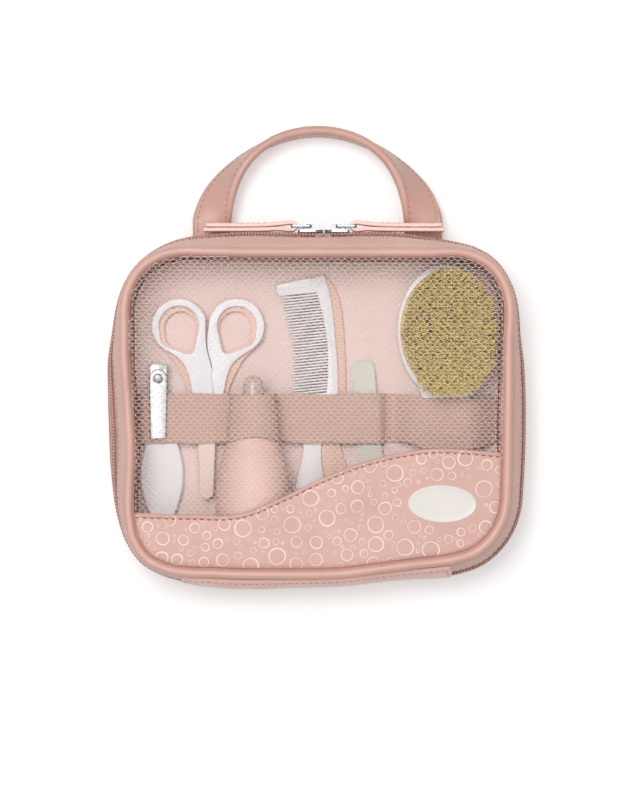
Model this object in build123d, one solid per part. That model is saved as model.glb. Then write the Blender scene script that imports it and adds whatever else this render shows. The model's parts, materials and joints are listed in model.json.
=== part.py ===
"""Baby grooming kit: a zipped leatherette case with a net window, and the tools that an elastic band
holds inside it.

Units are millimetres. The case lies on its back: X runs to the right, Y towards the carrying handle and
Z out of the front. The origin is the centre of the flat back that the case rests on.
"""

import os
from math import asin, ceil, cos, degrees, hypot, pi, radians, sin, sqrt

from build123d import *

# Case outline, measured on the seam line, which is the outer edge of the piping
case_top_width = 192.0
case_bottom_width = 184.0
case_height = 160.0
case_depth = 50.0
top_corner = 36.0
bottom_corner = 40.0

# Case walls
piping_diameter = 4.5
wall_bulge = 6.4
gusset_thickness = 1.2
gusset_height = 14.5
tape_thickness = 0.7
tape_width = 13.0
edge_gap = 0.05

# Back, from the outer skin to the lining
back_skin = 1.2
back_board_thickness = 2.0
back_padding_thickness = 4.2
lining_thickness = 0.6
back_edge_gap = 0.3
skin_tuck = 0.2

# Zip
zip_row_gap = 1.6
coil_width = 3.0
coil_thickness = 1.8
zip_end = 65.0
coil_corner = 0.8

# Hinge strip along the bottom
strip_thickness = 1.3
strip_cover = 17.0
hinge_gap = 0.3
hinge_margin = 0.1

# Net window and the panel below it
net_thickness = 0.5
net_pitch = 12.0
net_strand = 1.5
net_border = 2.0
net_overlap = 4.0
panel_thickness = 1.2
wave_points = [(-61, -49.6), (-36, -48.9), (-17, -41.2), (1.2, -32.4), (25, -23.4), (50, -18.3)]
wave_left_y = -48.4
wave_right_y = -20.4

# Sliders
slider_length = 12.2
slider_width = 10.0
slider_nose_width = 7.2
slider_shoulder = 3.66
slider_plate = 1.2
slider_clearance = 0.3
slider_nose_gap = 0.7
slider_middle = 3.05
slider_post_length = 2.5
slider_post = 1.0
slider_post_inset = 0.6
bridge_length = 8.6
bridge_height = 3.9
bridge_width = 2.4
bridge_thickness = 1.1

# Zip pulls
link_wire = 1.3
link_length = 9.0
tab_length = 46.0
tab_width = 9.6
tab_layer = 2.0
tab_tail = 4.2
tab_slit = 0.25
tab_fold = 6.0
pin_clearance = 0.1

# Handle strap
strap_width = 19.0
strap_thickness = 4.0
strap_half_span = 52.5
strap_rise = 50.0
strap_base_out = 1.6
strap_height = 10.0
strap_fold_out = 7.1
strap_fold_gap = 0.3
strap_stations = 17

# Elastic band
band_top = 8.5
band_width = 23.4
band_thickness = 0.9
band_left = -89.0
band_stitch = 33.6
band_right = 88.5
band_stitch_width = 3.0
band_clearance = 0.5
band_corner = 3.0
band_lean = 1.5

# How far every tool lies above the lining
tool_gap = 0.3

# Nail clipper
clipper_x = -78.3
clipper_width = 9.0
clipper_head_y = 23.1
clipper_pin_y = 16.0
clipper_rivet_y = -10.0
clipper_rivet_edge = 3.4
clipper_tail_y = -34.0
jaw_thickness = 1.3
jaw_lip = 2.6
jaw_gap = 0.1
jaw_edge = 0.4
clipper_pin_diameter = 2.6
clipper_pin_head = 4.4
clipper_pin_head_height = 1.2
clipper_hole_clearance = 0.5
rivet_diameter = 2.4
lever_length = 29.7
lever_thickness = 1.2
lever_tail_width = 8.0
lever_lift = 0.5
lever_flat = 4.0
lever_bend = 8.0
lever_toe = 3.0
grip_x = -76.7
grip_top_y = -15.2
grip_bottom_y = -56.0
grip_top_width = 15.0
grip_width = 20.8
grip_widest_y = -27.0
grip_bottom_width = 13.0
grip_thickness = 5.0
grip_foot = 6.0
grip_edge = 1.1

# Safety scissors
scissors_x = -54.0
pivot_y = 1.0
loop_offset = 14.1
loop_y = 41.8
loop_radius = 13.5
loop_wall_outer = 3.2
loop_wall_inner = 3.9
loop_tail_offset = 3.9
loop_tail_y = 20.0
loop_tail_radius = 3.2
hole_rise = 0.4
hole_foot = (4.4, 4.0)
hole_foot_radius = 3.6
hole_side = (-3.6, -5.0)
hole_side_radius = 6.0
scissors_split = 0.5
shank_radius = 4.4
shank_offset = 2.2
shank_y = 11.0
boss_radius = 4.6
handle_thickness = 6.0
underlay_thickness = 2.6
underlay_grow = 0.8
underlay_rim = 1.2
blade_thickness = 1.2
blade_gap = 0.2
blade_length = 40.5
blade_root = 5.2
blade_eye = 3.6
blade_waist = 8.0
blade_tip_radius = 1.1
blade_tip_x = -53.5
tang_length = 24.0
tang_width = 3.0
tang_offset = 3.4
screw_diameter = 3.0
screw_clearance = 0.2
screw_head_diameter = 5.6
screw_head_height = 0.7

# Blade cap
cap_top_y = -5.2
cap_bottom_y = -43.2
cap_top_width = 9.3
cap_bottom_width = 6.7
cap_x = -54.6
cap_wall = 0.8
cap_thickness = 5.4

# Nasal aspirator
aspirator_x = -31.5
bulb_clearance = 2.35
bulb_widest_y = -42.0
bulb_bottom_y = -69.0
bulb_shoulder_y = -15.0
bulb_shoulder_radius = 12.2
bulb_neck_y = -2.0
bulb_neck_radius = 7.4
bulb_neck_top_y = 4.5
bulb_wall = 2.4
nozzle_radius = 4.8
nozzle_top_y = 17.7
nozzle_bore = 2.4
nozzle_plug_radius = 3.6
nozzle_plug_length = 5.0
nozzle_flange = 1.6

# Comb
comb_tip = (-20.7, 60.1)
comb_shoulder = (3.0, 67.3)
comb_foot = (0.6, -62.0)
comb_right_edge = [(10, 57.5), (12.2, 46), (13.8, 22), (13.0, 2), (10.9, -15), (14.3, -27), (16.2, -42),
                   (14.6, -53)]
comb_left_edge = [(-13.0, -53), (-10.9, -37), (-6.9, -15), (-9.2, -3), (-11.7, 9), (-12.1, 25), (-12.8, 35),
                  (-15.6, 45), (-18.0, 55)]
comb_seam = [(5.6, 59), (8.8, 35), (10, 10), (7.6, -3), (2.4, -14), (1.9, -24), (1.9, -60)]
comb_roots = [(4.4, 9.6), (5.1, 29.4), (3.2, 44.5), (-0.3, 58.3)]
comb_white_thickness = 2.3
comb_back_thickness = 2.0
comb_teeth = 35
comb_tooth = 0.75
comb_tooth_tilt = 6.0
comb_lap = 4.5

# Nail files
file_count = 4
file_thickness = 0.9
file_gap = 0.05
file_top = (23.7, 20.9)
file_length = 83.0
file_lean = 4.6
file_top_radius = 4.2
file_bottom_radius = 5.1
file_fan = 0.9

# Hair brush
brush_x = 62.6
brush_head_y = 39.4
brush_head_width = 47.2
brush_head_length = 66.0
brush_thickness = 8.5
brush_neck_width = 21.0
brush_neck_y = -2.0
brush_handle_width = 24.0
brush_handle_y = -40.0
brush_foot_y = -68.0
brush_foot_width = 18.0
brush_edge = 2.4
pad_width = 44.0
pad_length = 59.0
pad_thickness = 1.2
bristle_length = 16.5
bristle_pitch = 2.45
bristle_radius = 0.62
bristle_margin = 1.5
bristle_splay = 0.0045
bristle_lean = 0.13
bristle_root = 0.3

# Everything below is worked out from the sizes above
piping_radius = piping_diameter / 2
wall_foot_out = -piping_radius * (1 - cos(radians(45)))
wall_foot_z = piping_radius * (1 + sin(radians(45)))
wall_sagitta = wall_bulge - wall_foot_out
wall_half_chord = case_depth / 2 - wall_foot_z
wall_radius = (wall_half_chord**2 + wall_sagitta**2) / (2 * wall_sagitta)
lining_top = back_skin + back_board_thickness + back_padding_thickness + lining_thickness
tool_z = lining_top + tool_gap
zip_row_edge = case_depth / 2 - zip_row_gap / 2
tape_face = wall_bulge - gusset_thickness
coil_face = tape_face + coil_thickness
hinge_y = -(case_height / 2 + wall_bulge + strip_thickness + hinge_margin)
zip_y = case_height / 2
strap_base_y = zip_y + wall_bulge + strap_base_out
strap_fold_y = zip_y + wall_bulge + strap_fold_out
bulb_radius = (case_depth - piping_radius - net_thickness - tool_z - bulb_clearance) / 2
band_bottom = band_top - band_width
band_under = tool_z + handle_thickness + band_clearance


def save(shape, name):
    """Write one piece as its own file."""
    export_step(shape, f"parts/{name}.step")


def slab(face, low, high):
    """A flat face made into a solid between two heights."""
    return extrude(Pos(0, 0, low) * face, high - low)


def flip(shape):
    """The lid's twin of a piece of the back, mirrored about the middle of the depth."""
    return mirror(shape, Plane.XY.offset(case_depth / 2))


def case_face(out):
    """The case's outline, grown past the seam line by out, or shrunk where out is negative."""
    slope = (case_top_width - case_bottom_width) / 2 / case_height
    reach = out * sqrt(1 + slope**2)
    top = case_top_width / 2 + slope * out + reach
    bottom = case_bottom_width / 2 - slope * out + reach
    half = case_height / 2 + out
    face = make_face(Polyline((-bottom, -half), (-top, half), (top, half), (bottom, -half), close=True))
    face = fillet(face.vertices().group_by(Axis.Y)[-1], top_corner + out)
    return fillet(face.vertices().group_by(Axis.Y)[0], bottom_corner + out)


def half_seam():
    """The left half of the seam line, from the middle of the bottom round to the middle of the top."""
    half = case_height / 2
    return FilletPolyline(
        (0, -half),
        (-case_bottom_width / 2, -half),
        (-case_top_width / 2, half),
        (0, half),
        radius=[bottom_corner, top_corner],
    )


def follow_seam(section):
    """Carry a section, drawn as outward distance and height, round both halves of the seam line."""
    half = Part()
    for edge in half_seam().order_edges():
        along = edge % 0
        place = Plane(edge @ 0, x_dir=(-along.Y, along.X, 0), z_dir=along)
        face = place * section
        if edge.geom_type == GeomType.LINE:
            half += extrude(face, edge.length)
        else:
            turn = degrees(edge.length / edge.radius)
            half += revolve(face, Axis(edge.arc_center, (0, 0, -1)), turn)
    return half + mirror(half, Plane.YZ)


def wall_section(low, high, outer, inner):
    """A band of the curved wall between two heights and between two depths below its outer skin."""
    centre = Pos(wall_bulge - wall_radius, case_depth / 2)
    ring = centre * (Circle(wall_radius - outer) - Circle(wall_radius - inner))
    return ring & Pos(0, (low + high) / 2) * Rectangle(wall_radius, high - low)


def piping_section():
    return Pos(-piping_radius, piping_radius) * Circle(piping_radius)


def hinge_block():
    """The stretch along the bottom that has no zip."""
    return Pos(0, -case_height / 2, case_depth / 2) * Box(2 * zip_end, case_height / 2, 2 * case_depth)


def case_core():
    """Everything inside the wall's outer skin, to trim what is sewn against it."""
    centre = Pos(wall_bulge - wall_radius, case_depth / 2)
    disc = centre * Circle(wall_radius)
    deep = top_corner * 0.8
    window = Pos(-deep / 2 + wall_bulge, case_depth / 2) * Rectangle(deep + wall_bulge, case_depth)
    return follow_seam(disc & window)


def back_half():
    """Skin, board, padding, lining, piping, wall, tape, coil and hinge strip of the back."""
    skin_edge = case_face(skin_tuck - piping_diameter)
    inner_edge = case_face(-piping_diameter - back_edge_gap)
    save(slab(skin_edge, 0, back_skin), "back_panel")
    z = back_skin
    for name, thickness in (
        ("back_board", back_board_thickness),
        ("back_padding", back_padding_thickness),
        ("back_lining", lining_thickness),
    ):
        save(slab(inner_edge, z, z + thickness), name)
        z += thickness


def edge_pieces():
    """The pieces that run round the edge, in pairs: one for the back and its mirrored twin for the lid."""
    piping = follow_seam(piping_section())
    gusset = follow_seam(wall_section(wall_foot_z, gusset_height, 0, gusset_thickness) - piping_section())
    tape_inner = gusset_thickness + tape_thickness
    tape = wall_section(zip_row_edge - tape_width, zip_row_edge, gusset_thickness, tape_inner)
    coil_low = zip_row_edge - coil_width
    coil = Pos((tape_face + coil_face) / 2, zip_row_edge - coil_width / 2) * RectangleRounded(
        coil_thickness, coil_width, coil_corner
    )
    tape_skin = wall_section(coil_low - coil_width, zip_row_edge, gusset_thickness, wall_radius / 2)
    strip_low = case_depth / 2 - strip_cover
    strip = wall_section(strip_low, case_depth / 2 - hinge_gap / 2, -strip_thickness, 0)
    return {
        "piping": piping,
        "gusset": gusset,
        "zip_tape": follow_seam(tape) - hinge_block(),
        "zip_coil": follow_seam(coil - tape_skin) - hinge_block(),
        "hinge_strip": follow_seam(strip) & hinge_block(),
    }


def wave_line():
    """The upper edge of the lower panel, from left to right."""
    side = case_top_width / 2
    return Spline((-side, wave_left_y), *wave_points, (side, wave_right_y))


def below_wave(drop):
    """The area of the front under the wave line, lowered by drop."""
    line = Pos(0, -drop) * wave_line()
    left, right = line @ 0, line @ 1
    floor = -case_height
    return make_face(
        [line.edge(), Line(right, (right.X, floor)), Line((right.X, floor), (left.X, floor)),
         Line((left.X, floor), left)]
    )


def net_and_panel():
    """The net window, one sheet with diamond gaps, and the leatherette panel sewn over its lower edge."""
    edge = -piping_diameter - edge_gap
    level = case_depth - piping_radius
    inside = case_face(edge)
    sheet = inside - below_wave(net_overlap)
    opening = case_face(edge - net_border) - below_wave(net_overlap - net_border)
    window = opening.faces()[0]
    size = net_pitch / 2 - net_strand * 0.7
    diamond = make_face(Polyline((-size, 0), (0, size), (size, 0), (0, -size), close=True))
    gaps = []
    columns = ceil(case_top_width / net_pitch)
    rows = ceil(case_height / net_pitch * 2)
    for row in range(-rows, rows + 1):
        for column in range(-columns, columns + 1):
            x = (column + row % 2 / 2) * net_pitch
            y = row * net_pitch / 2
            tips = [(x - size, y, 0), (x + size, y, 0), (x, y - size, 0), (x, y + size, 0)]
            if all(window.is_inside(tip, 1e-4) for tip in tips):
                gaps.append((x, y))
    net = sheet - [Pos(x, y) * diamond for x, y in gaps]
    print("net gaps", len(gaps))
    save(slab(net, level - net_thickness, level), "mesh_window")
    save(slab(inside & below_wave(0), level, level + panel_thickness), "lower_panel")


def slider(side):
    """One die-cast slider: two plates, the post between the rows, the flange round the back's row and
    the bridge that carries the pull. side is 1 for the right slider and -1 for the left one."""
    middle = case_depth / 2
    nose = slider_nose_gap / 2
    far = nose + slider_length
    outer_low = zip_y + coil_face + slider_clearance
    sag = (slider_width / 2) ** 2 / (2 * wall_radius)
    inner_high = zip_y + tape_face - tape_thickness - sag - slider_clearance
    waist = slider_nose_width
    shoulder = nose + slider_shoulder
    plate = Plane.XZ * make_face(
        Polyline(
            (nose, middle - waist / 2),
            (shoulder, middle - slider_width / 2),
            (far, middle - slider_width / 2),
            (far, middle + slider_width / 2),
            (shoulder, middle + slider_width / 2),
            (nose, middle + waist / 2),
            close=True,
        )
    )
    plate = fillet(plate.vertices(), slider_plate)
    body = extrude(Pos(0, outer_low, 0) * plate, -slider_plate)
    body += extrude(Pos(0, inner_high, 0) * plate, slider_plate)
    post = Box(
        slider_post_length,
        outer_low - inner_high + slider_plate,
        slider_post,
        align=(Align.MIN, Align.MIN, Align.CENTER),
    )
    body += Pos(nose + slider_post_inset, inner_high - slider_plate / 2, middle) * post
    flange_top = zip_row_edge - coil_width - slider_clearance
    flange_low = middle - slider_width / 2
    flange_in = zip_y + tape_face + slider_clearance
    flange = Box(
        far - shoulder - slider_plate,
        outer_low - flange_in + slider_plate / 2,
        flange_top - flange_low,
        align=(Align.MIN, Align.MIN, Align.MIN),
    )
    body += Pos(shoulder, flange_in, flange_low) * flange
    outer_face = outer_low + slider_plate
    centre = nose + slider_length / 2
    arch = Pos(centre, outer_face) * (
        bridge_arch(bridge_length, bridge_height) - bridge_arch(
            bridge_length - 2 * bridge_thickness, bridge_height - bridge_thickness
        )
    )
    body += extrude(Pos(0, 0, middle - bridge_width / 2) * arch, bridge_width)
    body = Pos(slider_middle, 0, 0) * body
    return body if side > 0 else mirror(body, Plane.YZ.offset(slider_middle))


def bridge_arch(length, height):
    """The outline of the bridge, a low arch standing on the line Y = 0."""
    arch = Pos(0, height / 2) * Rectangle(length, height)
    return fillet(arch.vertices().group_by(Axis.Y)[-1], min(height, length / 2) * 0.7)


def pull_point(side):
    """Where the link's inner bar sits under the bridge."""
    nose = slider_nose_gap / 2
    x = slider_middle + side * (nose + slider_length / 2)
    bridge_under = zip_y + coil_face + slider_clearance + slider_plate + bridge_height - bridge_thickness
    return x, bridge_under - link_wire / 2 - 3 * pin_clearance


def pull(side, name):
    """The wire link and the folded leatherette tab that it carries, drawn for the right and mirrored."""
    middle = case_depth / 2
    x, y = pull_point(1)
    link_width = tab_width + link_wire + 2 * slider_clearance
    inner = RectangleRounded(link_length - link_wire, link_width - link_wire, link_wire * 0.3)
    outer = RectangleRounded(link_length + link_wire, link_width + link_wire, link_wire)
    link = extrude(Plane.XZ * (outer - inner), link_wire / 2, both=True)
    link = Pos(x + link_length / 2, y, middle) * link
    fold = Pos(x + link_length, y)
    fold_radius = link_wire / 2 + pin_clearance + tab_layer
    end_x = x + link_length - fold_radius + tab_length
    tail_y = zip_y + coil_face + slider_clearance + tab_tail / 2 + slider_clearance
    tail = Pos(end_x - tab_tail / 4, tail_y) * Rectangle(tab_tail / 2, tab_tail)
    fold_end = (x + link_length + tab_fold, (y + tail_y) / 2)
    cheek = Pos(*fold_end) * Circle(tab_tail / 2 + pin_clearance)
    body = make_hull((fold * Circle(fold_radius)).edges() + cheek.edges())
    body += make_hull(cheek.edges() + tail.edges())
    body -= fold * RectangleRounded(link_wire + pin_clearance, link_wire + pin_clearance, pin_clearance)
    seam = Polyline((x + link_length, y), fold_end, (end_x, tail_y))
    body -= trace(seam, tab_slit)
    tab = extrude(Pos(0, 0, middle - tab_width / 2) * body, tab_width)
    shapes = {f"pull_link_{name}": link, f"pull_tab_{name}": tab}
    if side < 0:
        shapes = {key: mirror(shape, Plane.YZ.offset(slider_middle)) for key, shape in shapes.items()}
    for key, shape in shapes.items():
        save(shape, key)


def strap_section(turn, start):
    """The strap's cross-section where it has gone turn degrees along its arch."""
    angle = radians(turn)
    x = -strap_half_span * cos(angle)
    y = strap_base_y + strap_rise * sin(angle)
    along = Vector(strap_half_span * sin(angle), strap_rise * cos(angle), 0).normalized()
    side = Vector(along.Y, -along.X, 0)
    twist = radians(90 * sin((angle - start) / (pi - 2 * start) * pi))
    across = side * cos(twist) + Vector(0, 0, 1) * sin(twist)
    place = Plane((x, y, strap_height), x_dir=across, z_dir=along)
    return place * RectangleRounded(strap_width, strap_thickness, strap_thickness * 0.3)


def handle():
    """The carrying strap: flat at its sewn ends and turned on edge over the top, with a fold near the
    case. The two sewn ends stay with the case, the arch swings."""
    start = asin((strap_fold_y + strap_fold_gap - strap_base_y) / strap_rise)
    steps = strap_stations - 1
    first = degrees(start)
    last = 180 - first
    sections = [strap_section(first + (last - first) * i / steps, start) for i in range(strap_stations)]
    strap = loft(sections)
    fold = Plane((0, strap_fold_y + strap_fold_gap, strap_height), x_dir=(1, 0, 0), z_dir=(0, -1, 0))
    strap = split(strap, fold, keep=Keep.BOTTOM)
    save(strap, "handle_strap")
    core = case_core()
    inner = zip_y - piping_diameter
    ends = Part()
    for side in (-1, 1):
        x = side * strap_half_span * cos(start)
        block = Box(
            strap_width,
            strap_fold_y - inner,
            strap_thickness,
            align=(Align.CENTER, Align.MIN, Align.CENTER),
        )
        ends += Pos(x, inner, strap_height) * block - core
    save(ends, "handle_ends")


def band_zone(points, radius):
    """A passage under the elastic band, drawn across the case."""
    face = make_face(Polyline(*points, close=True))
    return fillet(face.vertices().group_by(Axis.Y)[-1], radius)


def elastic_band():
    """The wide elastic band: two long passages for the tools with a raised arch over the aspirator."""
    arch_radius = bulb_shoulder_radius + band_clearance
    bulb_z = tool_z + bulb_radius
    foot = lining_top
    left = band_zone(
        [
            (band_left, foot),
            (band_left + band_lean, band_under),
            (band_stitch - band_lean, band_under),
            (band_stitch, foot),
        ],
        band_corner,
    )
    arch = Pos(aspirator_x, bulb_z) * Circle(arch_radius)
    arch += Pos(aspirator_x, (foot + bulb_z) / 2) * Rectangle(2 * arch_radius, bulb_z - foot)
    brush_under = tool_z + brush_thickness + band_clearance
    gap = band_stitch_width
    right = band_zone(
        [
            (band_stitch + gap, foot),
            (brush_x - brush_neck_width / 2 - gap, brush_under),
            (brush_x + brush_neck_width / 2 + gap, brush_under),
            (band_right, foot),
        ],
        band_corner,
    )
    hollow = left + arch + right
    cover = offset(left + arch, band_thickness) + offset(right, band_thickness)
    cover += Pos(band_stitch + gap / 2, foot + band_thickness / 2) * Rectangle(gap, band_thickness)
    length = band_right - band_left
    above = Pos((band_left + band_right) / 2, foot + case_depth / 2) * Rectangle(2 * length, case_depth)
    profile = (cover - hollow) & above
    place = Plane((0, band_bottom, 0), x_dir=(1, 0, 0), z_dir=(0, -1, 0))
    save(extrude(place * profile, -band_width), "elastic_band")


def clipper():
    """The nail clipper: two spring-steel jaws riveted together at the tail and moulded into a paddle
    grip, the stand pin through their heads, and the lever folded back over the elastic band."""
    cover = (grip_thickness - 2 * jaw_thickness - jaw_gap) / 2
    low = tool_z + cover
    upper_low = low + jaw_thickness + jaw_gap
    lever_low = band_under + band_thickness + tool_gap
    head_top = lever_low - pin_clearance
    neck_top = band_under - band_clearance
    upper_tail_y = clipper_rivet_y - clipper_rivet_edge
    lower = jaw_solid(jaw_profile(clipper_tail_y, low, low, low, low + jaw_lip))
    neck_low = neck_top - jaw_thickness
    head_low = head_top - jaw_thickness
    upper = jaw_solid(jaw_profile(upper_tail_y, upper_low, neck_low, head_low, head_top - jaw_lip))
    bore = clipper_post(0, clipper_pin_diameter / 2 + clipper_hole_clearance, 0, case_depth)
    rivet_along = clipper_rivet_y - clipper_pin_y
    rivet = clipper_post(rivet_along, rivet_diameter / 2, low - cover / 2, upper_low + jaw_thickness)
    rivet_hole = clipper_post(rivet_along, rivet_diameter / 2 + pin_clearance, 0, case_depth)
    pin_low = low - clipper_pin_head_height
    pin_top = lever_low + lever_thickness + pin_clearance
    pin = clipper_post(0, clipper_pin_diameter / 2, pin_low, pin_top)
    pin += clipper_post(0, clipper_pin_head / 2, pin_low, low)
    pin += clipper_post(0, clipper_pin_head / 2, pin_top, pin_top + clipper_pin_head_height)
    lever_hole = clipper_post(0, clipper_pin_diameter / 2 + pin_clearance, 0, case_depth)
    save(lower - pin - rivet, "clipper_lower_jaw")
    save(upper - bore - rivet_hole, "clipper_upper_jaw")
    save(rivet, "clipper_rivet")
    save(pin, "clipper_pin")
    save(clipper_lever(lever_low) - lever_hole, "clipper_lever")
    save(clipper_grip() - lower, "clipper_grip")


def clipper_post(along, radius, low, high):
    """An upright round post on the clipper's centre line, along mm above its stand pin."""
    return Pos(clipper_x, clipper_pin_y + along, (low + high) / 2) * Cylinder(radius, high - low)


def jaw_profile(tail_y, tail_z, neck_z, head_z, lip_z):
    """A jaw's underside seen from the side, as distance along Y and height, with the jaw's thickness on
    top: flat at the tail, low under the elastic band, then up to the head, where the cutting lip turns
    towards the other jaw. The lip points up where lip_z is above head_z."""
    knee = clipper_rivet_y + rivet_diameter
    neck = band_top - band_clearance
    shoulder = clipper_pin_y - clipper_pin_head / 2
    head = clipper_head_y
    slant = jaw_thickness * 1.5
    under = [(tail_y, tail_z), (knee, tail_z), (neck, neck_z), (shoulder, head_z)]
    over = [(y, z + jaw_thickness) for y, z in reversed(under)]
    head_top = head_z + jaw_thickness
    if lip_z > head_z:
        end = [(head, head_z), (head, lip_z), (head - jaw_edge, lip_z), (head - slant, head_top)]
    else:
        end = [(head - slant, head_z), (head - jaw_edge, lip_z), (head, lip_z), (head, head_top)]
    return under + end + over


def jaw_solid(profile):
    half = clipper_width / 2
    place = Plane((clipper_x - half, 0, 0), x_dir=(0, 1, 0), z_dir=(1, 0, 0))
    return extrude(place * make_face(Polyline(*profile, close=True)), clipper_width)


def clipper_lever(low):
    """The thumb lever, forked round the pin, narrowing a little to its free end, which turns up."""
    tip = clipper_pin_y - lever_length
    half = clipper_width / 2
    outline = make_hull(
        (Pos(clipper_x, clipper_pin_y) * Circle(half)).edges()
        + (Pos(clipper_x, tip + lever_lift) * Rectangle(lever_tail_width, 2 * lever_lift)).edges()
    )
    place = Plane((clipper_x - clipper_width, 0, 0), x_dir=(0, 1, 0), z_dir=(1, 0, 0))
    under = [
        (clipper_pin_y + half, low),
        (clipper_pin_y - lever_flat, low),
        (clipper_pin_y - lever_bend, low + lever_lift),
        (tip + lever_toe, low + lever_lift),
        (tip, low + 2 * lever_lift),
    ]
    over = [(y, z + lever_thickness) for y, z in reversed(under)]
    side = make_face(Polyline(*under, *over, close=True))
    return extrude(place * side, 2 * clipper_width) & slab(outline, 0, case_depth)


def clipper_grip():
    """The white paddle grip."""
    bottom = grip_bottom_y
    right = Spline(
        (grip_x + grip_top_width / 2, grip_top_y),
        (grip_x + grip_width / 2, grip_widest_y),
        (grip_x + grip_bottom_width / 2, bottom + grip_foot),
    )
    left = mirror(right, Plane.YZ.offset(grip_x))
    foot = ThreePointArc(right @ 1, (grip_x, bottom), left @ 1)
    top = Line(left @ 0, right @ 0)
    face = make_face([right.edge(), foot.edge(), left.edge(), top.edge()])
    grip = slab(face, tool_z, tool_z + grip_thickness)
    rims = grip.edges().filter_by(lambda e: abs((e @ 0).Z - (e @ 1).Z) < 1e-6)
    return fillet(rims, grip_edge)


def loop_outline(grow):
    """The left finger loop and shank seen from the front, grown by grow."""
    ring = Pos(scissors_x - loop_offset, loop_y) * Circle(loop_radius + grow)
    tail = Pos(scissors_x - loop_tail_offset, loop_tail_y) * Circle(loop_tail_radius + grow)
    shank = Pos(scissors_x - shank_offset, shank_y) * Circle(shank_radius + grow)
    return make_hull(ring.edges() + tail.edges()) + make_hull(tail.edges() + shank.edges())


def loop_hole(shrink):
    """The hole for the finger, round at the top and narrowing towards the pivot."""
    width = 2 * loop_radius - loop_wall_outer - loop_wall_inner
    x = scissors_x - loop_offset + (loop_wall_outer - loop_wall_inner) / 2
    top = Pos(x, loop_y + hole_rise) * Circle(width / 2 - shrink)
    foot_y = loop_y - loop_radius + hole_foot[1]
    foot = Pos(scissors_x - loop_offset + hole_foot[0], foot_y) * Circle(hole_foot_radius - shrink)
    side_x = scissors_x - loop_offset + hole_side[0]
    side = Pos(side_x, loop_y + hole_side[1]) * Circle(hole_side_radius - shrink)
    return make_hull(top.edges() + foot.edges() + side.edges())


def left_of_split():
    """The area that the left half of the scissors keeps to, above the crossing."""
    reach = case_height
    return Pos(scissors_x - scissors_split / 2 - reach / 2, shank_y + reach / 2) * Rectangle(reach, reach)


def near_pivot():
    """The part of a shank that crosses over the pivot."""
    shank = Pos(scissors_x - shank_offset, shank_y) * Circle(shank_radius)
    boss = Pos(scissors_x, pivot_y) * Circle(boss_radius)
    return make_hull(shank.edges() + boss.edges())


def blade_outline():
    """A blade from its pivot to its rounded tip, with its root round the screw."""
    root = Pos(scissors_x, pivot_y) * Circle(blade_eye)
    waist = Pos(scissors_x, pivot_y - blade_waist) * Circle(blade_root / 2)
    tip = Pos(blade_tip_x, pivot_y - blade_length + blade_tip_radius) * Circle(blade_tip_radius)
    return make_hull(root.edges() + waist.edges()) + make_hull(waist.edges() + tip.edges())


def tang_outline():
    """The tang of the left half's blade, inside the shank."""
    low = Pos(scissors_x, pivot_y) * Circle(tang_width / 2)
    high = Pos(scissors_x - tang_offset, pivot_y + tang_length - tang_width) * Circle(tang_width / 2)
    return make_hull(low.edges() + high.edges())


def other_half(shape):
    """The right half's twin of a piece of the scissors' left half."""
    return mirror(shape, Plane.YZ.offset(scissors_x))


def scissors_post(radius, low, high):
    return Pos(scissors_x, pivot_y, (low + high) / 2) * Cylinder(radius, high - low)


def scissors_half(own, layer_low, layer_high, other_low, other_high, blade_low):
    """One half of the scissors. own turns a left-hand outline into this half's. The crossing layer lies
    between layer_low and layer_high, and the other half's between other_low and other_high."""
    top = tool_z + handle_thickness
    under_top = tool_z + underlay_thickness
    side = left_of_split()
    body = (loop_outline(0) - loop_hole(0)) & side
    under = (loop_outline(underlay_grow) - loop_hole(underlay_rim)) & side
    crossing = slab(offset(other_half(near_pivot()), scissors_split), other_low, other_high)
    blade = slab(blade_outline(), blade_low, blade_low + blade_thickness)
    blade += own(slab(tang_outline(), blade_low, blade_low + blade_thickness))
    underlay = own(slab(under, tool_z, under_top) - crossing) - blade
    grip = slab(body, under_top, top) - crossing + slab(near_pivot(), layer_low, layer_high)
    return blade, own(grip) - blade - underlay, underlay


def scissors():
    """Two halves that cross at the screw: each has a steel blade, a white moulded handle and a peach
    under-layer round its finger loop."""
    middle = tool_z + handle_thickness / 2
    top = tool_z + handle_thickness
    low_top = middle - blade_gap / 2
    high_low = middle + blade_gap / 2
    head = screw_head_diameter / 2
    screw = scissors_post(screw_diameter / 2, tool_z + screw_head_height, top)
    screw += scissors_post(head, top - screw_head_height, top)
    screw += scissors_post(head, tool_z, tool_z + screw_head_height)
    loose = scissors_post(screw_diameter / 2 + screw_clearance, tool_z, top)
    loose += scissors_post(head + screw_clearance, tool_z, tool_z + screw_head_height + screw_clearance)
    left = scissors_half(lambda shape: shape, high_low, top, tool_z, high_low, high_low)
    right = scissors_half(other_half, tool_z, low_top, low_top, top, low_top - blade_thickness)
    for half, pieces, hole in (("a", left, screw), ("b", right, loose)):
        for piece, name in zip(pieces, ("blade", "handle", "underlay")):
            save(piece - hole, f"scissors_{name}_{half}")
    save(screw, "scissors_screw")


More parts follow.
